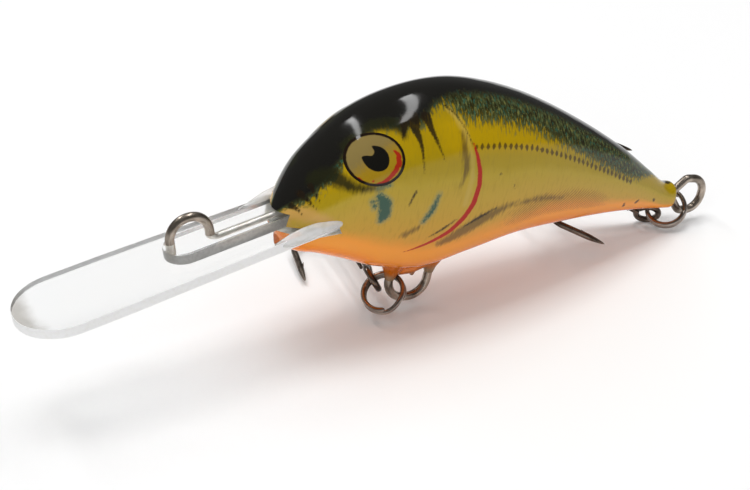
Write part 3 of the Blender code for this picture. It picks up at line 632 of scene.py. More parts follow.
def eye_ring(size, height):
    turns = [2 * math.pi * step / EYE_SIDES for step in range(EYE_SIDES)]
    return [Vector((EYE_LONG * size * math.cos(t), EYE_TALL * size * math.sin(t), height)) for t in turns]


def stack_mesh(name, rings):
    """A closed solid through rings of as many points each, capped at both ends."""
    bm = bmesh.new()
    rows = [[bm.verts.new(point) for point in ring] for ring in rings]
    for row, following in zip(rows, rows[1:]):
        for index in range(len(row)):
            beside = (index + 1) % len(row)
            bm.faces.new((row[index], row[beside], following[beside], following[index]))
    bm.faces.new(rows[0])
    bm.faces.new(rows[-1])
    bmesh.ops.recalc_face_normals(bm, faces=bm.faces)
    return new_mesh(name, bm)


def cloudy_resin(name, base, cloud, cloud_size, detail, cover, shift, shine):
    """A resin or plastic with soft clouds of a second colour, whose size is in mm."""
    material, tree, shader = new_material(name)
    place = add_node(tree, "ShaderNodeTexCoord", output="Object")
    scale = 1 / (cloud_size * MM)
    clouds = add_node(tree, "ShaderNodeTexNoise", {"Vector": place, "Scale": scale, "Detail": detail})
    colour = brush(tree, base, cloud, clouds, CLOUD_EDGE, cover, shift=shift)
    set_inputs(shader, {"Base Color": colour, **shine})
    return material


# The saw cut's faces: epoxy on bare wood, clouded over about 1 mm and drawn off-white as painted reflection
# of the white table that the plate mirrors there. The white also hides the slot's shade seen through the
# clear tang.
cut_face_painted_reflection = cloudy_resin("epoxy_on_bare_wood", "#f4f2ec", "#d8cdb8", 1.0, 3.0, 0.8, 0.45, {"Roughness": 0.3})
spine_half, spine_top = SPINE_WIDTH / 2 + BILL_FIT, SPINE_HEIGHT + BILL_FIT
tools = (
    bill_tool("saw_cut", SAW_CUT_WIDTH / 2, -BILL_THICKNESS - BILL_FIT, BILL_FIT, cut_face_painted_reflection),
    bill_tool("spine_cut", spine_half, -BILL_THICKNESS / 2, spine_top, cut_face_painted_reflection),
)
fish_skin = skin_tree()
for side, word in ((-1, "left"), (1, "right")):
    paint = lacquered_livery(f"{word}_lacquered_livery", PATTERN_SHIFT * side)
    blank = new_piece(f"{word}_blank", body_grid(f"{word}_blank"))
    sizes = {"section_power": SECTION_POWER, "widest_share": WIDEST_SHARE, "side": float(side)}
    grow(blank, fish_skin, finish=paint, **sizes)
    piece = settle(blank, f"{word}_painted_half")
    clean_mesh(piece.data)
    pocket = stack_mesh("eye_pocket", [eye_ring(1.0, -EYE_DEPTH), eye_ring(1.0, EYE_DEPTH)])
    pocket.transform(eye_frame(side))
    pocket = new_piece("eye_pocket", pocket)
    piece = cut(piece, (*tools, pocket))
    bpy.data.objects.remove(pocket)
    clean_mesh(piece.data)
    mark_livery(piece.data, side)
    piece.data.transform(body_to_row)
    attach(piece, "lure_body")
    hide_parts(f"{word}_body_half")
for tool in tools:
    bpy.data.objects.remove(tool)

# The keel weight: a short slug of lead, cast in a mould and glued into a pocket before the halves close.
# It stays as it is in the frame, out of sight, and only gets its finish.

# Cast lead: dull blue-grey with the grain of the mould, blotched over about 1.1 mm where it has oxidised.
material, tree, shader = new_material("cast_lead")
place = add_node(tree, "ShaderNodeTexCoord", output="Object")
bloom = add_node(tree, "ShaderNodeTexNoise", {"Vector": place, "Scale": 0.9 / MM, "Detail": 4.0})
shade = add_node(tree, "ShaderNodeMix", {0: bloom, 6: "#4c4d52", 7: "#8a8b8f"}, 2, data_type="RGBA")
grain = add_node(tree, "ShaderNodeBump", {"Strength": 0.4, "Distance": 0.05 * MM, "Height": bloom})
set_inputs(shader, {"Base Color": shade, "Metallic": 1.0, "Roughness": 0.6, "Normal": grain})
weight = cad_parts["keel_ballast"]
weight.data.materials.clear()
weight.data.materials.append(material)

# The through-wire: one length of drawn stainless wire, bent by hand round pins.
# It makes the line tie over the bill, runs through the body, makes the hanger and ends in the tail loop.
WIRE_DIAMETER = 1.08
WIRE_IN_BILL = 0.1
TIE_FRONT = 11.95
TIE_WIDTH = 4.8
TIE_HEIGHT = 4.2
HANGER_FROM_NOSE = 18.4
HANGER_WIDTH = 5.5
HANGER_DROP = 5.1
HANGER_ROUND = 2.4
WIRE_DECK = 1.6
TAIL_LOOP_DIAMETER = 4.5
TAIL_LOOP_NECK = 0.6
TAIL_LEG_SPACING = 1.4
TAIL_LEG_LENGTH = 6.0
TAIL_LOOP_LENGTH = 3.375     # of its straight sides, before they are rounded
SOFT_BEND = 1.0
TIE_ROUNDING = 0.98          # shares of a full half circle
LOOP_ROUNDING = 0.95
ARC_STEPS = 14
WIRE_SIDES = 24
hanger_rear = HANGER_FROM_NOSE + HANGER_WIDTH
hanger_low = body_section(HANGER_FROM_NOSE + HANGER_WIDTH / 2)[1] - HANGER_DROP


def rounded_path(corners):
    """Points along straight runs with round bends. A corner is (point, bend radius)."""
    points = [corners[0][0]]
    for (before, _), (corner, radius), (after, _) in zip(corners, corners[1:], corners[2:]):
        back = (before - corner).normalized()
        ahead = (after - corner).normalized()
        half_angle = back.angle(ahead) / 2
        reach = radius / math.tan(half_angle)
        middle = corner + (back + ahead).normalized() * (radius / math.sin(half_angle))
        start = corner + back * reach - middle
        end = corner + ahead * reach - middle
        sweep = start.angle(end)
        for step in range(ARC_STEPS + 1):
            share = step / ARC_STEPS
            weight_start = math.sin((1 - share) * sweep) / math.sin(sweep)
            weight_end = math.sin(share * sweep) / math.sin(sweep)
            points.append(middle + start * weight_start + end * weight_end)
    points.append(corners[-1][0])
    return points


def through_wire_path():
    """The wire's middle line, from the line tie to the end of the tail loop."""
    tie_rear = TIE_FRONT - TIE_WIDTH
    tie_round = TIE_WIDTH / 2 * TIE_ROUNDING
    leg = TAIL_LEG_SPACING / 2
    loop = TAIL_LOOP_DIAMETER / 2
    loop_round = loop * LOOP_ROUNDING
    legs_start = BODY_LENGTH - TAIL_LEG_LENGTH
    neck_end = BODY_LENGTH + TAIL_LOOP_NECK
    flare = neck_end + loop - leg
    loop_end = flare + TAIL_LOOP_LENGTH
    # Corners as (along, up, bend radius), on the bill and then in the body
    on_bill = (
        (TIE_FRONT, WIRE_IN_BILL, 0),
        (TIE_FRONT, TIE_HEIGHT, tie_round),
        (tie_rear, TIE_HEIGHT, tie_round),
        (tie_rear, WIRE_IN_BILL, SOFT_BEND),
        (-TANG_LENGTH - SOFT_BEND, WIRE_IN_BILL, SOFT_BEND),
    )
    in_body = (
        (HANGER_FROM_NOSE, WIRE_DECK, SOFT_BEND),
        (HANGER_FROM_NOSE, hanger_low, HANGER_ROUND),
        (hanger_rear, hanger_low, HANGER_ROUND),
        (hanger_rear, WIRE_DECK, SOFT_BEND),
        (legs_start, leg, SOFT_BEND),
        (neck_end, leg, SOFT_BEND),
        (flare, loop, SOFT_BEND),
        (loop_end, loop, loop_round),
        (loop_end, -loop, loop_round),
        (flare, -loop, SOFT_BEND),
        (neck_end, -leg, SOFT_BEND / 2),
        (legs_start, -leg, 0),
    )
    corners = [(bill_in_body @ Vector((along, 0, up)), bend) for along, up, bend in on_bill]
    return rounded_path(corners + [(Vector((along, 0, up)), bend) for along, up, bend in in_body])


def wire_tree():
    """Sweeps a round section along a path, and keeps how far along and round the wire each point lies."""
    tree, given = new_tree("drawn_wire", {"Wire Radius": "Float", "Sides": "Int"})
    stored = "GeometryNodeStoreNamedAttribute"
    length = add_node(tree, "GeometryNodeSplineParameter", output="Length")
    path = {"Geometry": given["Geometry"], "Name": "along_mm", "Value": length}
    path = add_node(tree, stored, path, data_type="FLOAT", domain="POINT")
    circle = {"Resolution": given["Sides"], "Radius": 1.0}
    circle = add_node(tree, "GeometryNodeCurvePrimitiveCircle", circle)
    section = {"Geometry": circle, "Name": "around", "Value": add_node(tree, "GeometryNodeInputPosition")}
    section = add_node(tree, stored, section, data_type="FLOAT_VECTOR", domain="POINT")
    thick = {0: add_node(tree, "GeometryNodeInputRadius"), 1: given["Wire Radius"]}
    thick = add_node(tree, "ShaderNodeMath", thick, operation="MULTIPLY")
    swept = {"Curve": path, "Profile Curve": section, "Scale": thick, "Fill Caps": True}
    return end_tree(tree, add_node(tree, "GeometryNodeCurveToMesh", swept), given["Finish"])


def wire_piece(name, points, radius, finish, shares=None, sides=WIRE_SIDES):
    """A round wire along points in mm. shares, if given, thin it point by point."""
    curve = bpy.data.curves.new(name, "CURVE")
    curve.dimensions = "3D"
    spline = curve.splines.new("POLY")
    spline.points.add(len(points) - 1)
    for index, point in enumerate(points):
        spline.points[index].co = (*point, 1.0)
        spline.points[index].radius = shares[index] if shares else 1.0
    maker = grow(new_piece(name, curve), drawn_wire, wire_radius=radius, sides=sides, finish=finish)
    piece = settle(maker, name)
    clean_mesh(piece.data)
    return piece


def drawn_metal(name, bright, dark, roughness):
    """Plated or drawn steel wire: fine lines along it, and a tarnish that varies over 1 to 2 mm."""
    material, tree, shader = new_material(name)
    along = add_node(tree, "ShaderNodeAttribute", output="Fac", attribute_name="along_mm")
    around = add_node(tree, "ShaderNodeAttribute", output="Vector", attribute_name="around")
    along = add_node(tree, "ShaderNodeCombineXYZ", {2: along})
    place = add_node(tree, "ShaderNodeVectorMath", {0: around, 1: along}, operation="ADD")
    # Draw lines about 0.1 mm apart round the wire, drawn out 6 mm along it
    drawn = add_node(tree, "ShaderNodeMapping", {"Vector": place, "Scale": (6.0, 6.0, 0.16)})
    lines = add_node(tree, "ShaderNodeTexNoise", {"Vector": drawn, "Scale": 1.0, "Detail": 3.0})
    tarnish = add_node(tree, "ShaderNodeTexNoise", {"Vector": place, "Scale": 0.7, "Detail": 3.0})
    worn = add_node(tree, "ShaderNodeMapRange", {"Value": tarnish, "From Min": 0.35, "From Max": 0.65})
    shade = add_node(tree, "ShaderNodeMix", {0: worn, 6: dark, 7: bright}, 2, data_type="RGBA")
    smooth, rough = roughness - 0.08, roughness + 0.1
    rough = {"Value": lines, "From Min": 0.3, "From Max": 0.7, "To Min": smooth, "To Max": rough}
    rough = add_node(tree, "ShaderNodeMapRange", rough)
    bump = add_node(tree, "ShaderNodeBump", {"Strength": 0.25, "Distance": 0.02 * MM, "Height": lines})
    set_inputs(shader, {"Base Color": shade, "Metallic": 1.0, "Roughness": rough, "Normal": bump})
    return material


drawn_wire = wire_tree()
wire_steel = drawn_metal("drawn_stainless_wire", "#b9ada0", "#80756a", 0.3)
piece = wire_piece("bent_through_wire", through_wire_path(), WIRE_DIAMETER / 2, wire_steel)
# Moulded plastic lies on the wire with a film of air, which silvers it.
piece.data.materials.append(drawn_metal("wire_silvered_in_plastic", "#fbf9f4", "#dfdad0", 0.5))
into_bill = bill_in_body.inverted()
for polygon in piece.data.polygons:
    place = into_bill @ polygon.center
    if -TANG_LENGTH < place.x and place.z < SPINE_HEIGHT:
        polygon.material_index = 1
piece.data.transform(body_to_row)
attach(piece, "lure_body")
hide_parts("through_wire")

# The bill: a clear polycarbonate plate, moulded with a spine along its top that holds the wire.
# Its tang is glued into the saw cut in the mouth, and its edges are only just rounded.
BILL_REACH = 30.6
BILL_WIDTH = 11.2
BILL_WIDEST_AT = 19.0
BILL_TIP_LENGTH = 5.6
SPINE_REACH = 12.8
EDGE_ROUND = 0.07
SPINE_ROUND = 0.3
# The tip's crescent of painted shade: how far in from the tip it lies, and its radius
TIP_SHADE_INSET = 1.8
TIP_SHADE_ROUND = 25.0
TIP_STEPS = 24
ROUND_STEPS = 5
MITRE_LIMIT = 0.5
BILL_SMOOTH_ANGLE = 30.0
EDGE_LEAN = 0.95             # a face that leans more than this is level
SIDE_LEAN = 0.5
PALE_IOR = 1.3


def round_tipped(side, reach, tip_length):
    """One long side of a tongue and half its round tip, as (along, across)."""
    half_width = side[-1][1]
    tip = []
    for step in range(TIP_STEPS + 1):
        turn = math.pi / 2 * step / TIP_STEPS
        tip.append((reach - tip_length + tip_length * math.sin(turn), half_width * math.cos(turn)))
    return side + tip


def inset(side, by):
    """A closed outline from one side, drawn in by a distance all round."""
    outline = [Vector(point) for point in side] + [Vector((x, -y)) for x, y in reversed(side[:-1])]
    moved = []
    for index, point in enumerate(outline):
        before = (point - outline[index - 1]).normalized()
        after = (outline[(index + 1) % len(outline)] - point).normalized()
        inwards = Vector((before.y + after.y, -before.x - after.x)).normalized()
        stretch = max(math.cos(before.angle(after) / 2), MITRE_LIMIT)
        moved.append(point + inwards * (by / stretch))
    return moved


def rounded_slab(name, side, low, high, round_low, round_high):
    """A plate with an outline and rounded rims. A rim of no radius stays square."""
    rings = []
    for face, radius, way in ((low, round_low, 1), (high, round_high, -1)):
        steps = range(ROUND_STEPS + 1) if radius else [ROUND_STEPS]
        turns = [math.pi / 2 * step / ROUND_STEPS for step in steps]
        arc = [(radius * (1 - math.sin(turn)), face + way * radius * (1 - math.cos(turn))) for turn in turns]
        rings += arc if way > 0 else arc[::-1]
    mesh = stack_mesh(name, [[Vector((*point, z)) for point in inset(side, by)] for by, z in rings])
    return new_piece(name, mesh)


# Clear polycarbonate: glass-clear with pale edges, faint flow waves, hairline scuffs and painted shade at
# its tip.
# It bends light less here than the real 1.58, so that its edges stay as pale as they are on a white table.
clear, tree, shader = new_material("clear_polycarbonate")
place = add_node(tree, "ShaderNodeTexCoord", output="Object")
# A grey crescent of painted shade lies at the tip, in blotches of about 2 mm, for the dim crescent that the
# clear tip shows.
tip_shade_middle = body_to_row @ bill_in_body @ Vector((BILL_REACH - TIP_SHADE_INSET - TIP_SHADE_ROUND, 0.0, 0.0))
away = add_node(tree, "ShaderNodeVectorMath", {0: place, 1: tip_shade_middle}, "Value", operation="DISTANCE")
tip_shade_closeness = add_node(tree, "ShaderNodeMath", {0: away, 1: -1 / MM}, operation="MULTIPLY")
blotch = add_node(tree, "ShaderNodeTexNoise", {"Vector": place, "Scale": 1 / (2 * MM), "Detail": 2.0})
tip_shade_tint = brush(tree, "#fdfefe", "#c4c1bb", tip_shade_closeness, 1.0, 0.9, blotch, 1.6, -TIP_SHADE_ROUND)
# Flow waves of about 5 mm from the mould, and scuffs 0.3 mm wide from use
waves = add_node(tree, "ShaderNodeTexNoise", {"Vector": place, "Scale": 1 / (5 * MM), "Detail": 1.0})
bump = add_node(tree, "ShaderNodeBump", {"Strength": 0.2, "Distance": 0.1 * MM, "Height": waves})
scuffs = add_node(tree, "ShaderNodeTexNoise", {"Vector": place, "Scale": 3.3 / MM, "Detail": 2.0})
rough = {"Value": scuffs, "From Min": 0.5, "From Max": 0.8, "To Min": 0.02, "To Max": 0.08}
rough = add_node(tree, "ShaderNodeMapRange", rough)
set_inputs(shader, {
    "Base Color": tip_shade_tint, "Transmission Weight": 1.0, "IOR": PALE_IOR, "Roughness": rough, "Normal": bump,
})
# Satin polycarbonate for the spine's sides: matt with a grain of about 0.4 mm, and drawn grey as painted
# shade for the dim band that these sloped clear sides show.
spine_side_painted_shade = cloudy_resin(
    "satin_polycarbonate", "#c2c1be", "#a09f9c", 0.4, 2.0, 0.6, 0.48,
    {"Transmission Weight": 0.7, "IOR": PALE_IOR, "Roughness": 0.3},
)
# The plate's edge faces: drawn white and nearly opaque, a painted reflection of the white table that clear
# edges mirror. Its clouds are about 0.5 mm long.
edge_painted_reflection = cloudy_resin(
    "frosted_polycarbonate_edge", "#ffffff", "#f8f8f6", 0.5, 2.0, 0.7, 0.45,
    {"Transmission Weight": 0.1, "IOR": PALE_IOR, "Roughness": 0.6},
)

half_root, half_spine = BILL_ROOT_WIDTH / 2, SPINE_WIDTH / 2
plate_side = [(-TANG_LENGTH, half_root), (0.0, half_root), (BILL_WIDEST_AT, BILL_WIDTH / 2)]
plate_side = round_tipped(plate_side, BILL_REACH, BILL_TIP_LENGTH)
spine_side = round_tipped([(-TANG_LENGTH, half_spine), (0.0, half_spine)], SPINE_REACH, half_spine)
plate = rounded_slab("clear_bill", plate_side, -BILL_THICKNESS, 0.0, EDGE_ROUND, EDGE_ROUND)
spine = rounded_slab("bill_spine", spine_side, -BILL_THICKNESS / 2, SPINE_HEIGHT, 0.0, SPINE_ROUND)
piece = cut(plate, (spine,), "UNION")
bpy.data.objects.remove(spine)
clean_mesh(piece.data, BILL_SMOOTH_ANGLE)
piece.data.materials.clear()
for material in (clear, spine_side_painted_shade, edge_painted_reflection):
    piece.data.materials.append(material)
for polygon in piece.data.polygons:
    height, lean = polygon.center.z, abs(polygon.normal.z)
    if lean < EDGE_LEAN and height < -MERGE:
        polygon.material_index = 2
    elif lean < SIDE_LEAN and 0.0 < height < SPINE_HEIGHT - SPINE_ROUND / 2:
        polygon.material_index = 1
piece.data.transform(body_to_row @ bill_in_body)
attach(piece, "lure_body")
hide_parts("diving_bill")

# The eyes: shallow moulded discs that follow the cheek, printed with a gold iris, black pupil and red arc.
# Each is glued into its pocket and dipped with the body, so its rim doesn't show.
EYE_BULGE = 0.14
EYE_PROUD = 0.02
EYE_RINGS = 26
EYE_HUB = 0.02               # share of the disc left to the last ring
EYE_RIM = 3.2
EYE_SMOOTH_ANGLE = 50.0
PUPIL_STEPS = 6
CHEEK_LOW, CHEEK_HIGH = -3.0, 2.0
CHEEK_HALVINGS = 24
# The pupil's outline, and the red arc as (along, up, half width), in mm from the eye's middle
PUPIL = (
    (-0.6, 1.4), (0.5, 1.4), (1.35, 0.8), (1.65, -0.2), (1.3, -1.0), (0.3, -1.35), (-0.8, -1.0),
    (-1.55, -0.1), (-1.1, 0.2), (-0.45, 0.3), (-0.25, 0.8),
)
RED_ARC = (
    (2.0, 1.3, 0.1), (2.6, 0.9, 0.3), (2.85, 0.0, 0.32), (2.5, -1.0, 0.26), (1.7, -2.2, 0.25),
    (0.8, -2.9, 0.3),
)
RED_SPECKS = (((0.2, -2.5, 0.14), (0.3, -2.4, 0.1)), ((-1.6, -2.3, 0.1), (-1.1, -2.7, 0.2)))


def smooth_loop(points, steps):
    """A closed smooth curve through points."""
    count = len(points)
    knots = [Vector(point) for point in points]
    loop = []
    for index in range(count):
        a, b, c, d = (knots[(index + offset) % count] for offset in (-1, 0, 1, 2))
        for step in range(steps):
            t = step / steps
            bow = (a * 2 - b * 5 + c * 4 - d) * (t * t / 2)
            loop.append(b + (c - a) * (t / 2) + bow + (b * 3 - a - c * 3 + d) * (t**3 / 2))
    return loop


def outline_gap(points, loop):
    """Distance of flat points from a closed outline, less than zero inside it."""
    loop = loop + loop[:1]
    gap = brushed_gap(points, [(np.array(place), 0.0) for place in loop])
    inside = np.zeros(len(points), bool)
    for tail, head in zip(loop, loop[1:]):
        run = head - tail
        crosses = (points[:, 1] < tail.y) != (points[:, 1] < head.y)
        if crosses.any():
            reach = tail.x + (points[:, 1] - tail.y) * run.x / run.y
            inside ^= crosses & (points[:, 0] < reach)
    return np.where(inside, -gap, gap)


def on_cheek(matrix, x, y):
    """The height over the eye's plane at which the skin lies."""
    low, high = CHEEK_LOW, CHEEK_HIGH
    for _ in range(CHEEK_HALVINGS):
        height = (low + high) / 2
        point = matrix @ Vector((x, y, height))
        skin = skin_point(point.x, skin_turn(point.x, point.z), 1)
        if abs(point.y) < skin.y:
            low = height
        else:
            high = height
    return height


# Printed foil under lacquer: gold with a brushed sparkle of about 0.3 mm, crisp black print and a wet gloss.
foil, tree, shader = new_material("printed_gold_foil")
marks = {}
for mark in ("eye_x", "eye_y", "rim", "pupil", "red"):
    marks[mark] = add_node(tree, "ShaderNodeAttribute", output="Fac", attribute_name=mark)
place = add_node(tree, "ShaderNodeCombineXYZ", {0: marks["eye_x"], 1: marks["eye_y"]})
speck = add_node(tree, "ShaderNodeTexNoise", {"Vector": place, "Scale": 3.0, "Detail": 3.0})
slant = add_node(tree, "ShaderNodeMath", {0: marks["eye_x"], 1: marks["eye_y"]}, operation="SUBTRACT")
outside = add_node(tree, "ShaderNodeMath", {0: marks["rim"], 1: -1.0}, operation="MULTIPLY")
colour = "#a58418"
for layer in (
    ("#857342", slant, 1.6, 1.0, speck, 2.0),
    ("#a82a14", marks["red"], 0.07, 1.0, speck, 0.3),
    ("#12110d", marks["pupil"], 0.06),
    ("#1c120a", outside, 0.08, 1.0, speck, 0.15),
):
    colour = brush(tree, colour, *layer)
set_inputs(shader, {
    "Base Color": colour, "Specular IOR Level": 0.0, "Roughness": 0.5,
    "Coat Weight": 1.0, "Coat IOR": 1.35, "Coat Roughness": 0.03,
})

pupil = smooth_loop(PUPIL, PUPIL_STEPS)
red_lines = [[(np.array(knot[:2]), knot[2]) for knot in line] for line in (RED_ARC, *RED_SPECKS)]
for side, word in ((-1, "left"), (1, "right")):
    matrix = eye_frame(side)
    rings = [eye_ring(1.0, -EYE_DEPTH)]
    for step in range(EYE_RINGS + 1):
        size = 1.0 - (1.0 - EYE_HUB) * step / EYE_RINGS
        ring = eye_ring(size, 0.0)
        for point in ring:
            point.z = on_cheek(matrix, point.x, point.y) + EYE_PROUD + EYE_BULGE * (1 - size * size)
        rings.append(ring)
    piece = new_piece(f"{word}_printed_eye", stack_mesh(f"{word}_printed_eye", rings))
    clean_mesh(piece.data, EYE_SMOOTH_ANGLE)
    flat = np.array([vert.co for vert in piece.data.vertices])[:, :2] * (1, -side)
    write_marks(piece.data, {
        "eye_x": flat[:, 0],
        "eye_y": flat[:, 1],
        "rim": np.hypot(flat[:, 0] / EYE_LONG, flat[:, 1] / EYE_TALL) * EYE_LONG - EYE_RIM,
        "pupil": outline_gap(flat, pupil),
        "red": np.min([brushed_gap(flat, line) for line in red_lines], axis=0),
    })
    piece.data.materials.append(foil)
    piece.data.transform(body_to_row @ matrix)
    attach(piece, "lure_body")
    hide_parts(f"{word}_eye")

# The lacquer beads: clear lacquer that ran down the wires as the dipped body dried, over the orange paint.
# It gathers in a web between the belly hanger's legs and in a drop under the chin.
# Clear epoxy stands in the corners of the saw cut, beside the bill; it is drawn white, a painted reflection
# of the white table.
BEAD_CELL = 0.13
BEAD_MERGE = 1e-6
BEAD_SMOOTH_ANGLE = 180.0
FLOW_ROUNDS = 12
# Each bead is a run of (along the body, below the belly, radius).
BEADS = (
    ((HANGER_FROM_NOSE, -0.7, 2.0), (HANGER_FROM_NOSE, 0.8, 1.25), (HANGER_FROM_NOSE, 1.7, 0.8),
     (HANGER_FROM_NOSE, 2.5, 0.57)),
    ((hanger_rear + 0.4, -0.7, 1.8), (hanger_rear + 0.1, 0.8, 1.2), (hanger_rear, 1.8, 0.8),
     (hanger_rear, 2.8, 0.58)),
    ((18.2, 0.2, 0.9), (19.6, 1.0, 0.85), (21.0, 1.1, 0.8), (22.6, 0.9, 0.8), (24.2, 0.2, 0.9)),
    ((21.2, 1.0, 0.7), (21.5, 2.0, 0.4), (21.6, 2.4, 0.2)),
    ((24.4, -0.2, 1.1), (25.9, -0.25, 0.6)),
    ((2.0, -0.6, 0.9), (1.5, 0.3, 0.5), (1.3, 0.8, 0.2)),
)
# From the plate's edge back along the cut, as (along the bill, out, over the plate, radius)
EPOXY_CORNER = (
    (1.6, 4.7, -0.5, 0.3), (-0.5, 4.7, -0.4, 0.75), (-2.2, 4.9, -0.2, 0.85), (-3.8, 5.1, 0.0, 0.75),
    (-5.2, 5.35, 0.05, 0.65), (-6.5, 5.5, 0.05, 0.5),
)

# Amber lacquer over orange paint: deep and glossy at the wood, paler and clearer where it thins on the wire.
lacquer, tree, shader = new_material("amber_lacquer")
drop = add_node(tree, "ShaderNodeAttribute", output="Fac", attribute_name="drop_mm")
place = add_node(tree, "ShaderNodeTexCoord", output="Object")
# Runs and sags of about 0.8 mm
sags = add_node(tree, "ShaderNodeTexNoise", {"Vector": place, "Scale": 1.2 / MM, "Detail": 2.0})
colour = brush(tree, "#b59a76", "#ee7e14", drop, 0.7, 1.0, sags, 0.8, 1.7)
bump = add_node(tree, "ShaderNodeBump", {"Strength": 0.2, "Distance": 0.1 * MM, "Height": sags})
set_inputs(shader, {"Base Color": colour, "Transmission Weight": 0.45, "Roughness": 0.06, "Normal": bump})
# Clear epoxy, colourless and wet, clouded over about 1 mm and drawn half white: a painted reflection of the
# white table that the bill's edge mirrors beside the mouth.
epoxy = cloudy_resin(
    "clear_epoxy", "#ffffff", "#e2dfd6", 1.0, 3.0, 0.6, 0.42,
    {"Transmission Weight": 0.5, "IOR": PALE_IOR, "Roughness": 0.1},
)

belly_runs = []
for bead in BEADS:
    belly_runs.append([(along, 0.0, body_section(along)[1] - drop, radius) for along, drop, radius in bead])
corner_runs = []
for side in (-1, 1):
    places = [bill_in_body @ Vector((along, side * out, up)) for along, out, up, _ in EPOXY_CORNER]
    corner_runs.append([(*place, knot[3]) for place, knot in zip(places, EPOXY_CORNER)])
for name, runs, finish, slot in (
    ("lacquer_beads", belly_runs, lacquer, "left_body_paint"),
    ("epoxy_corners", corner_runs, epoxy, "clear_polycarbonate"),
):
    bm = bmesh.new()
    for run in runs:
        bead = wire_piece("bead", [knot[:3] for knot in run], 1.0, finish, [knot[3] for knot in run])
        bm.from_mesh(bead.data)
        bpy.data.objects.remove(bead)
    maker = new_piece(name, new_mesh(name, bm))
    maker.data.materials.append(finish)
    melt = maker.modifiers.new("melt", "REMESH")
    melt.mode = "VOXEL"
    melt.voxel_size = BEAD_CELL
    flow = maker.modifiers.new("flow", "SMOOTH")
    flow.iterations = FLOW_ROUNDS
    piece = settle(maker, name)
    clean_mesh(piece.data, BEAD_SMOOTH_ANGLE, BEAD_MERGE)
    drops = [body_section(vert.co.x)[1] - vert.co.z for vert in piece.data.vertices]
    write_marks(piece.data, {"drop_mm": drops})
    piece.data.transform(body_to_row)
    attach(piece, "lure_body")

# The split rings: flat-wound spring wire, black nickel plated, two turns that lie on each other.
# One hangs on the front bend of the belly hanger and one on the tail loop's lower leg.
RING_DIAMETER = 5.6
RING_WIRE = 0.5
DRAWN_WIRE = 0.62            # the turns as they are drawn, closed up
DRAWN_PITCH = 0.65
DRAWN_MARGIN = 0.01
RING_START = 30.0
RING_LOOP_POINTS = 60
RING_SIDES = 16
CUT_END = 0.6                # share of the wire at a ring's ends
BELLY_RING_AT = 27.0
TAIL_RING_AT = 1.4
BELLY_RING_FIT = 0.85
TAIL_RING_FIT = 0.5
mean_radius = (RING_DIAMETER - RING_WIRE) / 2
drawn_radius = (RING_DIAMETER - DRAWN_WIRE) / 2 - DRAWN_MARGIN


def direction(azimuth, rise):
    azimuth, rise = math.radians(azimuth), math.radians(rise)
    level = math.cos(rise)
    return Vector((level * math.cos(azimuth), level * math.sin(azimuth), math.sin(rise)))


def ring_points():
    """Two flat turns about Z with a step between them."""
    sweep = 720.0 - 2 * RING_START
    count = round(RING_LOOP_POINTS * sweep / 360.0)
    points = []
    for index in range(count + 1):
        turn = RING_START + sweep * index / count
        share = min(max((turn - 360.0 + RING_START) / (2 * RING_START), 0.0), 1.0)
        level = share * share * (3 - 2 * share) - 0.5
        angle = math.radians(turn)
        across = (drawn_radius * math.cos(angle), drawn_radius * math.sin(angle))
        points.append(Vector((*across, DRAWN_PITCH * level)))
    return points


def ring_frames(wire_point, fit, axis, hang_turn, hook_turn, shank):
    """Where a ring and its hook lie: the ring's frame and the hook's, in the row frame but in mm.

    The ring hangs on the wire at one turn and holds the hook's eye at another.
    """
    level = Vector((-axis.y, axis.x, 0)).normalized()
    upwards = axis.cross(level)

    def spoke(turn):
        return level * math.cos(math.radians(turn)) + upwards * math.sin(math.radians(turn))

    hang_radius = mean_radius - RING_WIRE / 2 - WIRE_DIAMETER / 2 - fit
    centre = body_in_mm @ wire_point - spoke(hang_turn) * hang_radius
    eye = centre + spoke(hook_turn) * mean_radius
    tangent = spoke(hook_turn + 90.0)
    ring = axes_matrix(centre, spoke(hook_turn + 180.0), axis)
    return ring, axes_matrix(eye, shank, shank * tangent.dot(shank) - tangent)


to_metres = Matrix.Diagonal((MM, MM, MM, 1.0))
body_in_mm = to_metres.inverted() @ body_to_row
bend = math.radians(BELLY_RING_AT)
belly_point = Vector((
    HANGER_FROM_NOSE + HANGER_ROUND * (1 - math.cos(bend)),
    0,
    hanger_low + HANGER_ROUND * (1 - math.sin(bend)),
))
tail_point = Vector((BODY_LENGTH + TAIL_LOOP_NECK, 0, -TAIL_LEG_SPACING / 2))
tail_point += Vector((1, 0, -1)).normalized() * TAIL_RING_AT
# The rings and hooks lie as in the photograph.
belly_rest = {"axis": direction(215, 56), "hang_turn": 64, "hook_turn": 145, "shank": direction(78, 2)}
tail_rest = {"axis": direction(219, 50), "hang_turn": 25, "hook_turn": 208, "shank": direction(160, 26.2)}
placed = {
    "belly": ring_frames(belly_point, BELLY_RING_FIT, **belly_rest),
    "tail": ring_frames(tail_point, TAIL_RING_FIT, **tail_rest),
}
ring_steel = drawn_metal("black_nickel_spring_wire", "#beb3a9", "#867a72", 0.28)
for prefix, (ring_frame, _) in placed.items():
    points = ring_points()
    shares = [CUT_END] + [1.0] * (len(points) - 2) + [CUT_END]
    piece = wire_piece(f"{prefix}_two_turn_ring", points, DRAWN_WIRE / 2, ring_steel, shares, RING_SIDES)
    piece.data.transform(to_metres @ ring_frame)
    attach(piece, f"{prefix}_ring")
    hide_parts(f"{prefix}_split_ring")

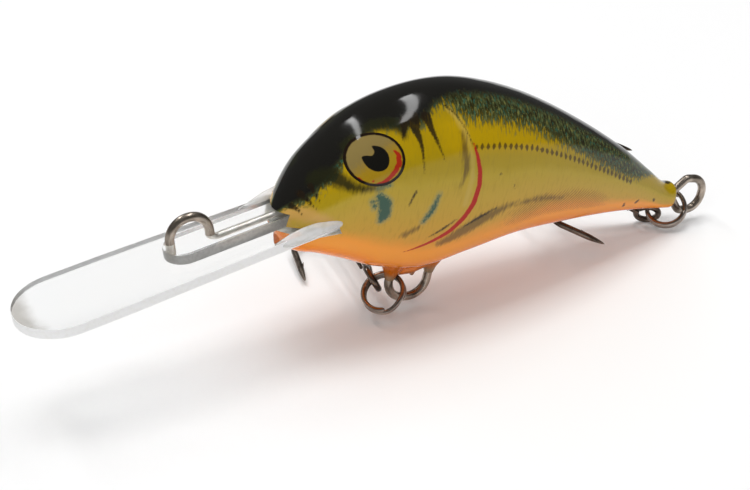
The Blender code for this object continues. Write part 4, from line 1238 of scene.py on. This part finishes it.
# The treble hooks: a double hook bent from one wire with an eye, and a single hook brazed along its shank.
# High-carbon steel, ground to round points with a cut barb, then black nickel plated.
HOOK_WIRE = 0.82
HOOK_EYE_BORE = 2.1
SHANK_LENGTH = 12.93
SHANK_SPACING = 0.83
CAD_SPACING = 1.05           # the shanks of the solids, which stand clear of each other
GAPE = 6.3
GAPE_MARGIN = 0.03
POINT_LENGTH = 6.13
POINT_SPREAD = 0.5
TAPER_LENGTH = 2.6
TAPER_STEPS = 8
TAPER_THINNING = 0.35
TIP_SHARE = 0.05
BARB_WIRE = 0.492
BARB_LENGTH = 1.5
BARB_FROM_TIP = 2.3
BARB_ROOT = 0.25
BARB_LEAN = 0.45
BARB_SHARES = (1.0, 0.75, 0.1)
BARB_SIDES = 8
BEND_STEPS = 24
EYE_LOOP_STEPS = 36
HOOK_SIDES = 20
NECK_LENGTH = 1.4            # in wires, from the eye to the pair's straight shanks
THIRD_FROM_EYE = 2.4         # in wires, from the eye to the third shank
THIRD_END = 0.55
bundle = SHANK_SPACING / math.sqrt(3)
reach = GAPE - GAPE_MARGIN + (CAD_SPACING - SHANK_SPACING) / math.sqrt(3)


def hook_leg(turn, start):
    """A hook's middle line from start along the shank to its tip. The shank runs along +X."""
    radial = Vector((0, math.cos(math.radians(turn)), math.sin(math.radians(turn))))
    radius = reach / 2
    places = [(start, bundle), (SHANK_LENGTH, bundle)]
    for step in range(1, BEND_STEPS + 1):
        angle = math.pi * step / BEND_STEPS
        places.append((SHANK_LENGTH + radius * math.sin(angle), bundle + radius - radius * math.cos(angle)))
    for step in range(TAPER_STEPS + 1):
        along = POINT_LENGTH - TAPER_LENGTH * (1 - step / TAPER_STEPS)
        lean = POINT_SPREAD * along / POINT_LENGTH
        places.append((SHANK_LENGTH - along, bundle + reach + lean))
    return [Vector((along, 0, 0)) + radial * out for along, out in places]


def hook_shares(points):
    """A ground point: full wire to the taper, then a long curve to a fine tip."""
    steps = [step / TAPER_STEPS for step in range(TAPER_STEPS)]
    taper = [math.sqrt(1 - step**2) * (1 - TAPER_THINNING * step) for step in steps]
    return [1.0] * (len(points) - TAPER_STEPS - 1) + taper + [TIP_SHARE]


def barb_points(leg):
    """A spur cut up from the point's inner side, leaning back towards the bend."""
    tip, before = leg[-1], leg[-2]
    towards = (tip - before).normalized()
    inwards = (Vector((tip.x, 0, 0)) - tip).normalized()
    root = tip - towards * BARB_FROM_TIP
    back = (inwards * BARB_LEAN - towards).normalized()
    return [root + towards * BARB_ROOT, root + back * BARB_LENGTH / 2, root + back * BARB_LENGTH]


def hook_piece(name, points, shares, legs, hook_frame):
    """A hook with a barb on each leg, in its place."""
    piece = wire_piece(name, points, HOOK_WIRE / 2, hook_steel, shares, HOOK_SIDES)
    barb_sizes = (BARB_WIRE / 2, hook_steel, BARB_SHARES, BARB_SIDES)
    barbs = [wire_piece("barb", barb_points(leg), *barb_sizes) for leg in legs]
    piece = cut(piece, barbs, "UNION")
    for barb in barbs:
        bpy.data.objects.remove(barb)
    clean_mesh(piece.data)
    piece.data.transform(to_metres @ hook_frame)
    return piece


hook_steel = drawn_metal("black_nickel_hook_steel", "#85776c", "#4d443c", 0.3)
eye_radius = (HOOK_EYE_BORE + HOOK_WIRE) / 2
pair = [hook_leg(turn, eye_radius + NECK_LENGTH * HOOK_WIRE) for turn in (30.0, 150.0)]
opening = math.asin(pair[0][0].y / eye_radius)
loop = []
for step in range(EYE_LOOP_STEPS + 1):
    angle = opening + (2 * math.pi - 2 * opening) * step / EYE_LOOP_STEPS
    loop.append(Vector((eye_radius * math.cos(angle), eye_radius * math.sin(angle), 0)))
pair_points = pair[0][::-1] + loop + pair[1]
pair_shares = hook_shares(pair[0])[::-1] + [1.0] * len(loop) + hook_shares(pair[1])
third = hook_leg(270.0, HOOK_EYE_BORE / 2 + THIRD_FROM_EYE * HOOK_WIRE)
third_shares = [THIRD_END] + hook_shares(third)[1:]
for prefix, (_, hook_frame) in placed.items():
    for name, node, points, shares, legs in (
        ("hook_pair", "double_hook", pair_points, pair_shares, pair),
        ("third_hook", "single_hook", third, third_shares, [third]),
    ):
        piece = hook_piece(f"{prefix}_{name}", points, shares, legs, hook_frame)
        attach(piece, f"{prefix}_treble")
        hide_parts(f"{prefix}_{node}")

# The floor, the light and the camera: white card in a dim room, under two tube lamps and two soft ones.
# The camera stands as in the photograph, above the lure's left shoulder.
FLOOR_SIZE = 3.2
FLOOR_LIFT = 0.1
ROOM_LIGHT = 0.14
# Each lamp faces the lure: its two ends and its width in metres, its power, and whether pieces mirror it.
# A lamp that isn't mirrored only fills the shade.
LAMPS = (
    ("rear_tube", (-0.195, 0.03, 0.6), (-0.125, 0.6, 0.6), 0.045, 0.95, True),
    ("front_tube", (0.165, -0.3, 0.6), (0.235, 0.36, 0.6), 0.06, 1.33, True),
    ("overhead_key", (-0.25, 0.03, 0.75), (0.1, 0.07, 0.75), 0.3, 2.4, False),
    ("soft_fill", (-1.0, -0.45, 0.5), (-0.2, -1.0, 0.5), 1.0, 3.75, False),
)
CAMERA_TARGET = Vector((-1.232, -2.584, 7.748)) * MM
CAMERA_DISTANCE = 204.0 * MM
CAMERA_AZIMUTH = -30.0
CAMERA_ELEVATION = 30.0
CAMERA_NEAREST = 0.01
SENSOR = 36.0
FOCAL_PIXELS = 1680.0
PICTURE_WIDTH = 750.0

bm = bmesh.new()
bmesh.ops.create_grid(bm, x_segments=2, y_segments=2, size=FLOOR_SIZE / 2)
floor = new_piece("floor", new_mesh("floor", bm))
# White card: matt, and lifted a little to white where the camera, a mirror or the clear bill shows it.
card, tree, shader = new_material("white_card")
set_inputs(shader, {"Base Color": "#f8f8f8", "Roughness": 0.9, "Specular IOR Level": 0.0})
rays = tree.nodes.new("ShaderNodeLightPath").outputs
seen = {0: rays["Is Camera Ray"], 1: rays["Is Glossy Ray"]}
seen = {0: add_node(tree, "ShaderNodeMath", seen, operation="MAXIMUM"), 1: rays["Is Transmission Ray"]}
seen = add_node(tree, "ShaderNodeMath", seen, operation="MAXIMUM")
lift = add_node(tree, "ShaderNodeMath", {0: seen, 1: FLOOR_LIFT}, operation="MULTIPLY")
white = add_node(tree, "ShaderNodeEmission", {"Color": "#ffffff", "Strength": 1.0})
lifted = add_node(tree, "ShaderNodeMixShader", {0: lift, 1: shader.outputs[0], 2: white})
set_inputs(tree.nodes["Material Output"], {"Surface": lifted})
floor.data.materials.append(card)

# The room is dim but for its lamps, so that the lacquered back stays dark.
world = bpy.data.worlds.new("dim_room")
world.use_nodes = True
set_inputs(world.node_tree.nodes["Background"], {"Color": "#ffffff", "Strength": ROOM_LIGHT})
bpy.context.scene.world = world

for name, start, end, width, power, mirrored in LAMPS:
    start, end = Vector(start), Vector(end)
    middle = (start + end) / 2
    lamp = bpy.data.lights.new(name, "AREA")
    lamp.shape = "RECTANGLE"
    lamp.size = (end - start).length
    lamp.size_y = width
    lamp.energy = power
    stand = new_piece(name, lamp)
    stand.matrix_world = axes_matrix(middle, end - start, middle)
    stand.visible_glossy = mirrored

lens = bpy.data.cameras.new("camera")
lens.sensor_width = SENSOR
lens.lens = SENSOR * FOCAL_PIXELS / PICTURE_WIDTH
lens.clip_start = CAMERA_NEAREST
camera = new_piece("camera", lens)
towards = direction(CAMERA_AZIMUTH - 90.0, CAMERA_ELEVATION)
camera.location = CAMERA_TARGET + towards * CAMERA_DISTANCE
camera.rotation_mode = "QUATERNION"
camera.rotation_quaternion = (-towards).to_track_quat("-Z", "Y")
bpy.context.scene.camera = camera
bpy.context.scene.view_settings.view_transform = "Standard"
